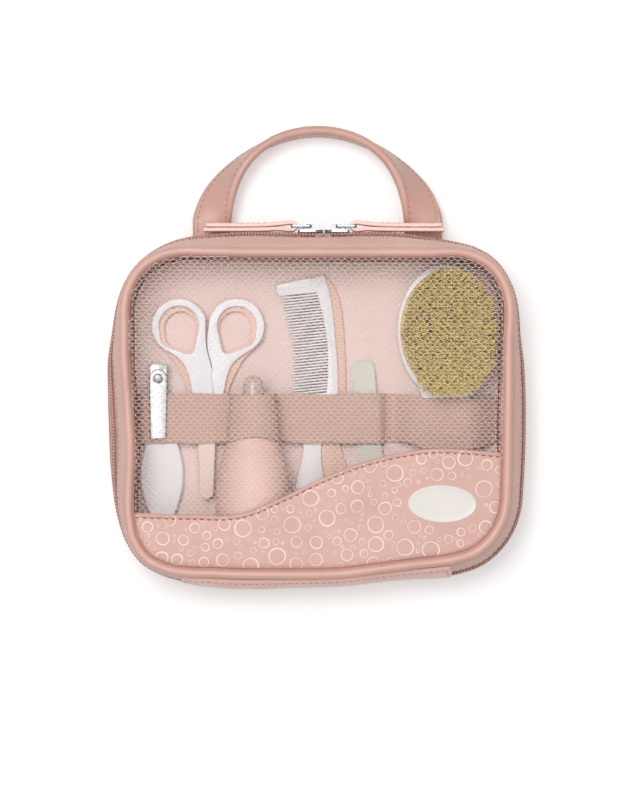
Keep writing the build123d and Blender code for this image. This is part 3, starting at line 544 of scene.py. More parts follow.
def ring_sweep(name, s, section, mat, wobble=None, caps=False, side="lid"):
    """A closed section of outward distance and height swept along the seam; wobble moves its points."""
    closed = np.concatenate([section, section[:1]])
    n, k = len(s), len(closed)
    rows = np.repeat(closed[None], n, 0)
    if wobble is not None:
        rows = wobble(s, rows)
        rows[:, -1] = rows[:, 0]
    along = np.repeat(s, k)
    verts = ring_points(along, rows[:, :, 0].ravel(), rows[:, :, 1].ravel(), side)[0]
    faces = grid_faces(n, k)
    if caps:
        faces += [list(range(k - 1))[::-1], list(range((n - 1) * k, n * k - 1))]
    return make(name, verts, faces, mat, stack(along, np.tile(lengths(closed), n)))


class Bundle:
    """Many tubes gathered into one mesh."""

    def __init__(self):
        self.verts, self.faces, self.uv, self.count = [], [], [], 0

    def add(self, points, radius, sides=6, caps=True):
        """Add a tube along a line of points. radius may be one number or one to a point."""
        n = len(points)
        along = unit(np.gradient(points, axis=0))
        side = np.cross(along, (0.0, 0.0, 1.0))
        weak = np.linalg.norm(side, axis=1) < 1e-3
        side[weak] = np.cross(along[weak], (1.0, 0.0, 0.0))
        side = unit(side)
        other = np.cross(side, along)
        a = full_turn(sides)
        ring = side[:, None] * np.cos(a)[:, None] + other[:, None] * np.sin(a)[:, None]
        radius = np.broadcast_to(radius, (n,))
        self.verts.append((points[:, None] + ring * radius[:, None, None]).reshape(-1, 3))
        self.faces += grid_faces(n, sides, True, self.count)
        if caps:
            self.faces += [face[::-1] for face in end_faces(n, sides, self.count)]
        self.uv.append(stack(np.repeat(lengths(points), sides), np.tile(a * 0.2, n)))
        self.count += n * sides

    def stitch(self, points, normals, pitch, run, radius, lift=0.12):
        """Add thread lying on a surface in short runs that dip into their holes."""
        normals = np.broadcast_to(normals, points.shape)
        along = lengths(points)
        count = int(along[-1] / pitch)
        for i in range(count):
            at = (i + 0.25) * along[-1] / count + np.linspace(0, run, 5)
            p, n = (look_up(at, along, values) for values in (points, normals))
            p = p + n * (lift * np.array([-2.6, 0.7, 1.0, 0.7, -2.6]))[:, None]
            self.add(p, radius * np.array([0.7, 1.0, 1.05, 1.0, 0.7]))

    def object(self, name, mat):
        return make(name, np.concatenate(self.verts), self.faces, mat, np.concatenate(self.uv), fix=False)


def thick_sheet(name, top, thickness, mat, uv, normals=None):
    """A sheet from a grid of points, (n, k, 3), with its underside and edges."""
    n, k, _ = top.shape
    if normals is None:
        normals = unit(np.cross(np.gradient(top, axis=0), np.gradient(top, axis=1)))
        normals *= np.sign(normals[..., 2].mean())
    bottom = top - np.asarray(normals) * thickness
    verts = np.concatenate([top.reshape(-1, 3), bottom.reshape(-1, 3)])
    m = n * k
    faces = grid_faces(n, k) + [face[::-1] for face in grid_faces(n, k, first=m)]
    edge = [i * k for i in range(n)] + [(n - 1) * k + j for j in range(1, k)]
    edge += [i * k + k - 1 for i in range(n - 2, -1, -1)] + list(range(k - 2, 0, -1))
    faces += [[a, b, b + m, a + m] for a, b in zip(edge, edge[1:] + edge[:1])]
    return make(name, verts, faces, mat, np.tile(np.reshape(uv, (-1, 2)), (2, 1)))


def put(obj, *nodes):
    """Ride on the body of some CAD nodes and stand for them."""
    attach(obj, BODY[nodes[0]])
    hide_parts(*nodes)
    return obj


def sew(name, body, *runs, mat=SEAM):
    """Rows of stitches on a body, each given as points, normals, pitch, run, radius and, if wanted, lift."""
    rows = Bundle()
    for run in runs:
        rows.stitch(*run)
    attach(rows.object(name, mat), body)


def soften(bm, width, segments):
    """Round the sharp edges of a mesh that is being edited, by a width in mm."""
    bmesh.ops.dissolve_limit(bm, angle_limit=math.radians(FLAT), verts=bm.verts, edges=bm.edges)
    sharp = [e for e in bm.edges if e.is_manifold and e.calc_face_angle(0.0) > math.radians(ROUNDED)]
    bmesh.ops.bevel(
        bm, geom=sharp, offset=width * MM, segments=segments, profile=0.5, affect="EDGES", clamp_overlap=True
    )


def settled(name, bm, mat):
    """An object for a mesh that has been edited."""
    mesh = bpy.data.meshes.new(name)
    bm.to_mesh(mesh)
    bm.free()
    mesh.materials.append(mat)
    mesh.shade_smooth()
    mesh.set_sharp_from_angle(angle=math.radians(SHARP))
    return link(name, mesh)


def welded(node):
    """The mesh of a CAD node, welded and ready to be edited."""
    bm = bmesh.new()
    bm.from_mesh(NODES[node].data)
    bm.transform(NODES[node].matrix_world)
    bmesh.ops.remove_doubles(bm, verts=bm.verts, dist=1.5e-6)
    return bm


def finished(node, mat, width=0.0, segments=3):
    """A copy of a rigid CAD node with smooth faces and rounded edges of the given width, mm."""
    bm = welded(node)
    if width:
        soften(bm, width, segments)
    put(settled(node + "_finish", bm, mat), node)


# The case's edge: piping, walls, zip and the strip that the lid turns on
def wave_noise(s, scale, seed):
    """Smooth noise along the seam that meets itself where the seam closes."""
    knots = np.linspace(0, ALL_S, int(ALL_S / scale) + 2)
    values = ripple(knots / scale * 0.7, seed, 0.1)
    values[-1] = values[0]
    return np.interp(np.mod(s, ALL_S), knots, values)


def piping(side):
    """Rolled leatherette piping with small creases where it turns the corners."""
    a = full_turn(18)
    section = stack(-PIPE_R + PIPE_R * np.cos(a), LEVEL + PIPE_R * np.sin(a))
    centre = np.array([-PIPE_R, LEVEL])
    seed = len(side)

    def wobble(s, rows):
        puff = 0.05 * wave_noise(s, 5.0, 3.0 + seed) + 0.05 * wave_noise(s, 26.0, 8.0 + seed)
        return centre + (rows - centre) * (0.985 + puff[:, None, None] * 0.5)

    s = np.linspace(0, ALL_S, 900)
    put(ring_sweep("piping_roll_" + side, s, section, PIPING, wobble, side=side), "piping_" + side)


def wall_strip(low, high, outer, inner):
    """The section of a strip of the wall, from z low to high, between two depths below its skin."""
    z = np.linspace(low, high, int((high - low) / 0.8))
    return np.concatenate([stack(wall_out(z, outer), z), stack(wall_out(z[::-1], inner), z[::-1])])


def gusset(side):
    """Leatherette wall, with a hem folded over the zip tape and a row of stitches along it."""
    low = DEPTH - 14.5
    section = wall_strip(low, WALL_HIGH, 0.0, 1.2)
    hem = np.clip(1 - (section[:, 1] - low) / 3.6, 0, 1)
    outer = np.arange(len(section)) < len(section) // 2
    section[:, 0] += np.where(outer, 0.34 * np.sin(np.pi * hem) + 0.1 * (hem > 0), 0.0)

    def wobble(s, rows):
        crease = 0.10 * wave_noise(s, 4.0, 21.0) + 0.12 * wave_noise(s, 19.0, 5.0)
        height = rows[0, :, 1]
        rows[:, :, 0] += crease[:, None] * np.clip((46 - height) / 6, 0, 1) - hump(height - 46.3, 1.3)
        return rows

    s = np.linspace(0, ALL_S, 700)
    put(ring_sweep("wall_" + side, s, section, WALL, wobble, side=side), "gusset_" + side)
    z = low + 2.1
    line = ring_points(np.linspace(ZIP_END, ALL_S - ZIP_END, 900), wall_out(z) + 0.30, z, side)
    sew("wall_stitches_" + side, BODY["gusset_" + side], (*line, 3.0, 2.0, 0.2))


def zip_row(side):
    """Woven tape, the coil of nylon teeth and the two lines of thread that sew the coil to the tape."""
    s = np.linspace(ZIP_END - 1, ALL_S - ZIP_END + 1, 640)
    tape = ring_sweep("zip_cloth_" + side, s, wall_strip(25.8, 38.8, 1.2, 1.85), TAPE, caps=True, side=side)
    pitch = 1.55
    turns = int((ALL_S - 2 * ZIP_END) / pitch)
    a = np.linspace(0, 2 * math.pi * turns, turns * 12 + 1)
    shift = 0.5 * pitch if side == "lid" else 0.0
    at = ZIP_END + shift + a / (2 * math.pi) * pitch + 0.16 * pitch * np.sin(2 * a)
    coil, sewing = Bundle(), Bundle()
    points = ring_points(at, 6.15 + 0.62 * np.sin(a), 26.9 - 2.1 * np.cos(a), side)[0]
    coil.add(points, 0.34 + 0.10 * np.clip(np.cos(a), 0, 1) ** 2)
    teeth = coil.object("zip_teeth_" + side, COIL)
    s = np.linspace(ZIP_END, ALL_S - ZIP_END, 2 * turns)
    out = 6.78 + 0.12 * np.cos(np.arange(len(s)) * math.pi)
    for height in (27.4, 28.3):
        sewing.add(ring_points(s, out, height, side)[0], 0.2, 5)
    lines = sewing.object("zip_sewing_" + side, SEAM)
    put(tape, "zip_tape_" + side)
    put(teeth, "zip_coil_" + side)
    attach(lines, BODY["zip_tape_" + side])


def hinge_strip():
    """The leatherette strip over the stretch with no zip, where the lid turns."""
    z = np.linspace(6.0, 44.6, 44)
    edge = np.minimum(z - z[0], z[-1] - z)
    puff = 1.25 + 0.22 * hump(edge - 1.2, 1.0) - 0.5 * hump(edge, 0.35)
    section = np.concatenate([stack(wall_out(z) + puff, z), stack(wall_out(z[::-1]) + 0.06, z[::-1])])

    def wobble(s, rows):
        rows[:, : len(edge), 0] += 0.16 * ripple(s / 9, 4.0, 2.0)[:, None] * np.clip(edge / 4, 0, 1)
        return rows

    s = np.linspace(-ZIP_END, ZIP_END, 260)
    # The strip's lighter leatherette is painted light for this shaded side of the case.
    obj = ring_sweep("hinge_leatherette", s, section, STRIP_PAINTED_LIGHT, wobble, caps=True)
    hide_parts("hinge_strip_back", "hinge_strip_lid")
    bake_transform(obj)
    last, skin = ZIP_END - 2, 1.36
    for side, body, height, low, high in (("back", "case", 8.0, 8.5, 21.0), ("lid", "lid", 42.4, 29.0, 42.0)):
        line = ring_points(np.linspace(-last, last, 200), wall_out(height) + skin, height)
        z = np.linspace(low, high, 30)
        ends = (ring_points(np.full(30, end), wall_out(z) + skin, z) for end in (-last, last))
        runs = [(*line, 3.2, 2.2, 0.16, 0.08)] + [(*end, 3.0, 2.0, 0.16, 0.08) for end in ends]
        sew("hinge_stitches_" + side, body, *runs)


# The back and its lining
def disc(name, inset, height, mat, rings, around, floor):
    """A pad that fills the case's outline, height(x, y, edge) giving its z; edge is mm from its rim."""
    p, n = seam(np.linspace(0, ALL_S, around, endpoint=False))
    rim = p - n * inset
    r = 1 - (1 - np.linspace(0, 1, rings)) ** 2.0
    r[0] = 0.004
    plan = rim * r[:, None, None]
    edge = (1 - r)[:, None] * np.linalg.norm(rim, axis=1) * 0.9
    top = raised(plan, height(plan[..., 0], plan[..., 1], edge))
    skirt = top[-1:].copy()
    skirt[..., 2] = floor
    verts = np.concatenate([top, skirt]).reshape(-1, 3)
    faces = grid_faces(rings + 1, around, True) + end_faces(rings + 1, around)
    return make(name, verts, faces, mat, verts[:, :2])


def field(x, y, scale, seed):
    """Smooth noise over many points."""
    flat = [fractal(a / scale, b / scale, 0.0, seed) for a, b in zip(np.ravel(x), np.ravel(y))]
    return np.reshape(flat, np.shape(x))


def back_pieces():
    def skin(x, y, edge):
        return 0.14 + 0.9 * hump(edge, 2.2) + 0.12 * np.abs(field(x, y, 24, 2.0))

    def quilt(x, y, edge):
        return LINING_Z - 0.28 - 0.9 * hump(edge, 1.8) + 0.22 * field(x, y, 17, 5.0)

    put(disc("back_skin", 4.3, skin, LEATHER, 46, 360, 1.3), "back_panel")
    lining = put(disc("lining_pad", 4.9, quilt, LINING, 60, 420, 3.4), "back_lining", "back_padding")
    stiff = NODES["back_board"]
    if not stiff.material_slots:
        stiff.data.materials.append(BOARD)
    for place in stiff.material_slots:
        place.material = BOARD


# The lid's net and leatherette panel, which meet in a wave
def inner_line(inset, count):
    p, n = seam(np.linspace(0, ALL_S, count, endpoint=False))
    return p - n * inset


WAVE_KNOTS = [(-97, -48.4), (-61, -49.6), (-36, -48.9), (-17, -41.2), (1.2, -32.4), (25, -23.4), (50, -18.3),
              (97, -20.4)]
WAVE_X = np.linspace(-97, 97, 400)
WAVE = stack(WAVE_X, smooth_through(WAVE_X, WAVE_KNOTS))
OUTLINE = inner_line(0.0, 900)[np.arange(901) % 900]


def wave_y(x):
    return np.interp(x, WAVE[:, 0], WAVE[:, 1])


def distance(points, line):
    """Distance of points from a line of points, by its nearest segment."""
    pts = points.reshape(-1, 2)
    best = np.full(len(pts), 1e9)
    part = 60
    for i in range(0, len(line) - 1, part):
        a = line[i : i + part + 1]
        a, d = a[:-1], a[1:] - a[:-1]
        t = ((pts[:, None] - a) * d).sum(-1) / np.maximum((d * d).sum(-1), 1e-12)
        near = a + np.clip(t, 0, 1)[..., None] * d
        best = np.minimum(best, np.linalg.norm(pts[:, None] - near, axis=-1).min(1))
    return best.reshape(points.shape[:-1])


def inside_case(points, inset):
    """Signed room inside the outline shrunk by inset: above 0 inside."""
    x, y = points[..., 0], points[..., 1]
    odd = np.zeros(x.shape, dtype=bool)
    for a, b in zip(OUTLINE, OUTLINE[1:]):
        if a[1] != b[1]:
            odd ^= ((a[1] > y) != (b[1] > y)) & (x < (b[0] - a[0]) * (y - a[1]) / (b[1] - a[1]) + a[0])
    room = distance(points, OUTLINE)
    return np.where(odd, room, -room) - inset


def surface_z(points):
    """The panel's upper face: a turned edge along the wave, a dip along its stitches and soft puffs."""
    room = np.clip(inside_case(points, PANEL_INSET), 0, None)
    below = distance(points, WAVE)
    z = LEVEL + 1.2 - 0.12 + 0.3 * field(points[..., 0], points[..., 1], 30, 9.0)
    z = z - 1.0 * hump(room, 1.6) - 1.9 * hump(room, 0.55)
    z = z + 0.20 * hump(below - 0.95, 0.8) - 0.26 * hump(below - SEWN_IN, 0.55)
    return z - 0.45 * hump(below, 0.32)


def on_panel(points):
    return raised(points, surface_z(points))


def panel():
    """The leatherette panel below the wave, with its stitches, its printed rings and the plain badge."""
    ring = inner_line(PANEL_INSET, 2400)
    low = ring[ring[:, 1] <= wave_y(ring[:, 0])]
    low = low[np.argsort(np.arctan2(low[:, 1] + 10, low[:, 0]))]
    bottom = resample(low, 420)
    x0, x1 = bottom[0, 0], bottom[-1, 0]
    xs = np.linspace(x0, x1, 600)
    top = resample(stack(xs, wave_y(xs)), 420)
    t = np.interp(np.arange(82), [0, 21, 68, 81], [0, 0.12, 0.95, 1])
    plan = top[:, None] * (1 - t)[:, None] + bottom[:, None] * t[:, None]
    obj = put(thick_sheet("wave_panel", on_panel(plan), 1.15, PANEL, plan, (0, 0, 1)), "lower_panel")
    seam_stitches(x0, x1)
    rings()
    badge()


def seam_stitches(x0, x1):
    line = WAVE[(WAVE[:, 0] > x0 + 0.5) & (WAVE[:, 0] < x1 - 0.5)]
    slope = np.gradient(line[:, 1], line[:, 0])
    down = stack(slope, -1.0) / np.hypot(slope, 1)[:, None]
    path = resample(on_panel(line + down * SEWN_IN), 1200)
    sew("wave_stitches", "lid", (path, (0, 0, 1), 3.4, 2.0, 0.26, 0.10), mat=DARK_SEAM)


def rings():
    """Printed rings of many sizes in a layout of their own, cut off at the panel's edges."""
    rng = random.Random(4127)
    wanted = [(3.4, 4.1, 13, 0.50), (2.2, 3.1, 34, 0.42), (1.3, 2.0, 48, 0.36), (0.6, 1.1, 90, 0.26)]
    placed = []
    shapes = {"bright": Print(), "pale": Print()}
    for low, high, count, width in wanted:
        tries = 0
        made = 0
        while made < count and tries < 6000:
            tries += 1
            x, y = rng.uniform(-90, 90), rng.uniform(-78, -17)
            r = rng.uniform(low, high)
            by_badge = ((x - BADGE_X) / 19.5) ** 2 + ((y - BADGE_Y) / 12) ** 2 < 1.15
            if y > wave_y(x) + 0.3 * r - 2.6 or by_badge:
                continue
            if any(math.hypot(x - a, y - b) < r + c + (1.5 if r > 1.2 else 0.8) for a, b, c in placed):
                continue
            if inside_case(np.array([[x, y]]), PANEL_INSET)[0] < 0.2 * r:
                continue
            placed.append((x, y, r))
            made += 1
            bright = r > 1.8 or rng.random() < 0.25
            shapes["bright" if bright else "pale"].ring(x, y, r, width * rng.uniform(0.75, 1.2), rng)
    for name, mat in (("bright", PRINT), ("pale", PALE_PRINT)):
        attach(shapes[name].object("printed_rings_" + name, mat), "lid")


class Print:
    """Flat printed rings gathered into one mesh on the panel's face."""

    def __init__(self):
        self.plan, self.faces, self.count = [], [], 0

    def ring(self, x, y, r, width, rng):
        n = max(20, int(r * 16))
        a = full_turn(n)
        phase = rng.uniform(0, 6.28)
        middle = r * (1 + 0.025 * np.sin(2 * a + phase) + 0.015 * np.sin(3 * a + 2 * phase))
        half = width * (1 + 0.35 * np.sin(a + phase)) / 2
        edges = (middle - half, middle + half)
        plan = np.concatenate([stack(x + d * np.cos(a), y + d * np.sin(a)) for d in edges])
        keep = (inside_case(plan, PANEL_INSET) > 0.5) & (plan[:, 1] < wave_y(plan[:, 0]) - 0.5)
        good = keep[:n] & keep[n:]
        for i in range(n):
            j = (i + 1) % n
            if good[i] and good[j]:
                self.faces.append([self.count + p for p in (i, j, n + j, n + i)])
        self.plan.append(plan)
        self.count += 2 * n

    def object(self, name, mat):
        verts = on_panel(np.concatenate(self.plan)) + (0, 0, 0.045)
        used = sorted({i for face in self.faces for i in face})
        index = {v: i for i, v in enumerate(used)}
        faces = [[index[i] for i in face] for face in self.faces]
        return make(name, verts[used], faces, mat, verts[used][:, :2], fix=False)


def badge():
    """A plain oval badge with a raised rim."""
    a = full_turn(96)
    rim = ((0, 0.0), (0.05, 0.3), (0.25, 0.46), (0.7, 0.52), (1.1, 0.44), (1.5, 0.36), (4, 0.36), (8.4, 0.38))
    rows = []
    for inset, rise in rim:
        x = BADGE_X + (16.5 - inset) * np.cos(a) - 0.6 * np.sin(a)
        y = BADGE_Y + (9.1 - inset * 0.98) * np.sin(a)
        rows.append(on_panel(stack(x, y)) + (0, 0, rise - 0.05))
    verts = np.concatenate(rows)
    faces = grid_faces(len(rows), len(a), True) + end_faces(len(rows), len(a))[1:]
    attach(make("plain_badge", verts, faces, BADGE, verts[:, :2]), "lid")


def net():
    """The knitted net window. Its threads run side by side for a short way at each knot, which gives
    cells with six sides, and a strip binds its edge inside the lid; its darker rim is a painted shadow line."""
    wide, tall, run, thick = 3.3, 3.2, 0.36, 0.13
    step = np.array([wide / 2, tall / 2])
    shake = np.random.default_rng(5).normal(0, 0.13, (400, 2))
    k = np.repeat(np.arange(-2, 110), 2)
    threads = Bundle()
    for direction in (1, -1):
        for i in range(-75, 76):
            knot = np.array([i * wide, -80.0]) + k[:, None] * step * (direction, 1)
            cell = np.round(knot / step).astype(int)
            knot = knot + shake[(cell[:, 0] * 31 + cell[:, 1] * 17) % 400]
            p = knot + np.tile([[thick * direction, -run], [-thick * direction, run]], (len(k) // 2, 1))
            good = (p[:, 0] > -92) & (p[:, 0] < 92) & (p[:, 1] < 77) & (p[:, 1] > wave_y(p[:, 0]) - 4)
            if good.sum() < 4:
                continue
            good[good] = inside_case(p[good], 4.4) > 0
            ends = np.flatnonzero(np.diff(np.concatenate([[0], good.astype(int), [0]])))
            for a, b in zip(ends[::2], ends[1::2]):
                if b - a < 3:
                    continue
                x, y = p[a:b].T
                z = LEVEL - 0.35 + 0.10 * direction * np.where(k[a:b] % 2 == 0, 1, -1)
                sag = 0.35 * np.sin(x / 31 + 1.0) * np.cos(y / 27)
                threads.add(stack(x, y, z + sag), thick, 5, caps=False)
    obj = put(threads.object("net_knit", NET), "mesh_window")
    # The binding strip under the piping, in darker leatherette: its visible rim is a painted shadow line
    # along the piping's inner edge.
    section = np.array([[-3.8, 46.3], [-4.0, 46.9], [-4.7, 46.8], [-5.0, 46.6], [-5.0, 46.3], [-4.4, 46.1]])
    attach(ring_sweep("net_binding_painted_shade", np.linspace(0, ALL_S, 700), section, BINDING_PAINTED_SHADE), "lid")


# The elastic band
def band_profile(y):
    """The band's line across the case at y, as points of x and z, in the middle of its thickness."""
    x = np.linspace(-89, 88.5, 900)
    near = np.minimum(x + 89, 33.6 - x)
    left = 8.3 + (15.25 - 8.3) * np.clip(near / 3.2, 0, 1) ** 0.6
    r = 13.15 - 2.2 * np.clip((y - BAND_LOW) / BAND_WIDE, 0, 1) ** 1.3
    arch = BULB_Z + np.sqrt(np.clip(r**2 - (x - BULB_X) ** 2, 0, None))
    left = np.where(np.abs(x - BULB_X) < r, np.maximum(arch, left), left)
    over_brush = [36.6, 38.5, 45.5, 50.5, 75, 79, 86.5, 88.5], [8.45, 8.9, 15.6, 17.75, 17.75, 15.8, 9.4, 8.3]
    right = np.where(x < 36.6, 8.45, np.interp(x, *over_brush))
    return stack(x, np.where(x < 33.6, left, right))


def elastic_band():
    """Wide woven elastic, taut over the tools, down on the lining at both ends and sewn down between comb and
    brush.
    """
    ys = np.linspace(BAND_LOW, BAND_HIGH, 34)
    kernel = np.exp(-0.5 * (np.arange(-7, 8) / 2.6) ** 2)
    kernel /= kernel.sum()
    top, along = [], []
    for y in ys:
        line = resample(band_profile(y), 560)
        soft = np.convolve(np.pad(line[:, 1], 7, mode="edge"), kernel, "valid")
        line[:, 1] = np.maximum(soft, np.minimum(line[:, 1], 12.0))
        along.append(lengths(line))
        x, z = line.T
        t = (BAND_HIGH - y) / BAND_WIDE
        droop = 0.5 * hump(x + 78, 7) + 0.35 * hump(x - 3, 12)
        wave = 0.22 * np.sin(x / 6.5 + 0.8) + 0.15 * np.sin(x / 2.9)
        brush = 2.6 / (1 + np.exp(-(x - 49) / 1.1)) / (1 + np.exp((x - 83) / 1.5))
        shifted = y + 3.0 * hump(x + 29, 12.5) * t**2 - 0.35 * (1 - t) * hump(x + 31, 10) + wave * (2 * t - 1)
        shifted -= brush * (0.85 + 0.35 * t) + 0.7 * t
        edge = min(y - BAND_LOW, BAND_HIGH - y)
        z = z + 0.10 * hump(edge, 0.9) + 0.10 * np.sin(x / 3.7 + 3 * t)
        top.append(stack(x, shifted - 0.25 * droop * t, z + 0.45))
    along = np.array(along)
    obj = put(thick_sheet("elastic", np.array(top), 0.85, BAND, stack(along, ys[:, None])), "elastic_band")
    lines = (stack(x, np.linspace(-14.2, 7.8, 60), 8.95) for x in (34.6, 35.8))
    sew("elastic_stitches", "case", *((line, (0, 0, 1), 2.0, 1.4, 0.18) for line in lines))


# The carrying strap: half its span, its rise, where its bow starts, folds and is sewn on, and its height
SPAN, RISE, BASE_Y, FOLD_Y, SEWN_Y, STRAP_Z = 52.5, 50.0, 88.0, 93.8, 81.2, 10.0
START = math.asin((FOLD_Y - BASE_Y) / RISE)


def strap_frames():
    """Middle, width direction and face direction of the strap at each of its stations."""
    a = np.linspace(START, math.pi - START, 190)
    narrowed = 1 - 0.018 * np.sin(2 * a) ** 2
    bow = stack(-SPAN * np.cos(a) * narrowed, BASE_Y + RISE * np.sin(a), STRAP_Z)
    along = unit(stack(SPAN * np.sin(a), RISE * np.cos(a), 0.0))
    side = stack(along[:, 1], -along[:, 0], 0.0)
    rise = np.sin((a - START) / (math.pi - 2 * START) * math.pi)
    twist = np.radians(90 * (1 - (1 - rise) ** 1.6))[:, None]
    turned = side * np.cos(twist) + np.array([0, 0, 1.0]) * np.sin(twist)
    ends, x = 14, SPAN * math.cos(START)
    rising = stack(-x, np.linspace(SEWN_Y, FOLD_Y, ends, endpoint=False), STRAP_Z)
    falling = stack(x, np.linspace(FOLD_Y, SEWN_Y, ends + 1)[1:], STRAP_Z)
    mids = np.concatenate([rising, bow, falling])
    flat = np.tile([1.0, 0, 0], (ends, 1))
    across = np.concatenate([flat, turned, -flat])
    for i in range(ends):
        k = (i / ends) ** 2
        for here, there in ((i, ends), (-1 - i, -1 - ends)):
            across[here] = across[there] * k + across[here] * (1 - k)
    across = unit(across)
    along = unit(np.gradient(mids, axis=0))
    across = unit(across - (across * along).sum(1)[:, None] * along)
    return mids, across, np.cross(along, across)


def strap():
    """The strap: two plies of leatherette with rolled edges, sewn together along both sides."""
    mids, across, face = strap_frames()
    half, thick, sewn = 9.5, 2.0, 0.715
    t = np.linspace(-1, 1, 27)
    out = np.abs(t)
    puff = thick * (1 - (1 - np.minimum(1.0, (1 - out) / 0.16)) ** 2.6) ** 0.5
    puff = puff - 0.26 * hump(out - sewn, 0.035) + 0.12 * hump(out - 0.87, 0.08)
    profile = stack(half * t, np.maximum(puff, 0.16))
    profile = np.concatenate([profile, profile[::-1] * (1, -1)])
    along = lengths(mids)
    width = 1 + 0.012 * ripple(along / 11, 3.0, 1.0)
    depth = 1 + 0.05 * ripple(along / 3.0, 9.0, 4.0)
    verts = (
        mids[:, None]
        + across[:, None] * (profile[:, :1] * width[:, None, None])
        + face[:, None] * (profile[:, 1:] * depth[:, None, None])
    )
    obj = tube("strap_leatherette", verts, along, profile, STRAP)
    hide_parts("handle_strap", "handle_ends")
    rows = Bundle()
    for side in (-1, 1):
        for ply in (-1, 1):
            line = mids + across * (side * half * sewn) + face * (ply * 1.80)
            rows.stitch(line, face * ply, 3.1, 2.15, 0.21)
    for piece in (obj, rows.object("strap_stitches", SEAM)):
        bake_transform(piece)


# The zip's hardware
def left_of(line):
    """Directions to the left of a flat line."""
    along = unit(np.gradient(line, axis=0))
    return stack(-along[:, 1], along[:, 0])


def pull_tab(name, side):
    """A strip of leatherette folded round the wire link, with its two plies sewn together."""
    node = "pull_tab_" + name
    lo, hi = (np.array(c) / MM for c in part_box(node))
    head, tail = (hi[0], lo[0]) if side < 0 else (lo[0], hi[0])
    middle_y, low_y, bend = 90.35, lo[1] + 2.15, 1.72
    x = head + side * 2.75
    turn = np.linspace(-0.5 * math.pi, (-1.5 if side > 0 else 0.5) * math.pi, 16)
    loop = stack(x + bend * np.cos(turn), middle_y + bend * np.sin(turn))
    lower = [(tail, low_y - 1.12), (tail - side * 12, low_y - 1.06), (head + side * 17, low_y - 1.0),
             (head + side * 9, low_y - 0.55), (x + side * 2.2, middle_y - bend)]
    upper = [(x + side * 2.2, middle_y + bend), (head + side * 9, low_y + 1.75),
             (head + side * 17, low_y + 1.12), (tail - side * 12, low_y + 1.06),
             (tail - side * 1.2, low_y + 1.14)]
    line = resample(smooth_line(np.concatenate([lower, loop, upper]), 2), 130)
    half, middle_z = 0.5 * (hi[2] - lo[2]) - 0.05, 0.5 * (hi[2] + lo[2])
    corner, ply = 0.5, 0.92
    section = []
    for start, cx, cz in ((0, ply, half), (90, -ply, half), (180, -ply, -half), (270, ply, -half)):
        a = np.radians(np.linspace(start, start + 90, 5))
        cx, cz = cx - math.copysign(corner, cx), cz - math.copysign(corner, cz)
        section.append(stack(cx + corner * np.cos(a), cz + corner * np.sin(a)))
    section = np.concatenate(section)
    along = lengths(line)
    shake = 0.10 * ripple(along / 4.0, side * 5.0, 2.0)
    xy = line[:, None] + left_of(line)[:, None] * (section[:, :1] + shake[:, None, None])
    z = middle_z + section[:, 1] * (1 - 0.02 * np.abs(shake))[:, None]
    put(tube("tab_leatherette_" + name, raised(xy, z), along, section, TAB), node)
    runs = []
    for up in (-half + 1.5, half - 1.5):
        for part, outward in ((line[:44], -1), (line[-44:], 1)):
            out = left_of(part)
            out = out * outward * np.sign(out[:, 1].mean())
            points = stack(*(part + out * 0.93).T, middle_z + up)
            runs.append((points, stack(*out.T, 0.0), 2.6, 1.8, 0.16, 0.08))
    sew("tab_stitches_" + name, BODY[node], *runs)


def hardware():
    for name, side in (("left", -1), ("right", 1)):
        finished("slider_" + name, ZINC, 0.28, 3)
        finished("pull_link_" + name, ZINC, 0.5, 4)
        pull_tab(name, side)


# The tools
def bulb():
    """The soft bulb, with its moulding line, a shallow ring at the neck and its hollow inside."""
    outer = [(0.2, -69), (6, -69), (9.2, -69), (12.4, -68.2), (15.4, -66), (17.5, -62.6), (18.25, -58.5),
             (18.3, -50), (18.3, -42), (17.5, -32), (15.7, -23.5), (12.9, -16.2), (10.4, -10), (8.6, -5.2),
             (7.5, -2), (7.3, 0), (7.75, 1.2), (7.8, 3.2), (7.3, 4.4), (3.8, 4.45)]
    inner = [(3.7, 0), (4.0, -3), (6.0, -8), (10.5, -17), (15, -30), (15.9, -42), (15.9, -58), (12, -66),
             (0.2, -66.5)]
    profile = np.concatenate([smooth_line(outer, 3), smooth_line(inner, 2)])
    n, around = len(profile), 96
    a = full_turn(around)
    radius, y = profile[:, :1], profile[:, 1:]
    verts = stack(radius * np.cos(a), y, radius * np.sin(a)).reshape(-1, 3)
    for point in verts:
        x, y, z = point
        r = math.hypot(x, z)
        if r >= 3.9:
            dent = 0.25 * fractal(x / 14, y / 16, z / 14, 6.0) * (r > 8)
            k = 1 + (0.12 * hump(z, 0.35) + dent) / r
            point *= (k, 1, k)
    uv = stack(np.tile(a * 8, n), np.repeat(lengths(profile), around))
    obj = make("bulb_soft", verts + (BULB_X, 0, BULB_Z), grid_faces(n, around, True), RUBBER, uv)
    put(obj, "aspirator_bulb")


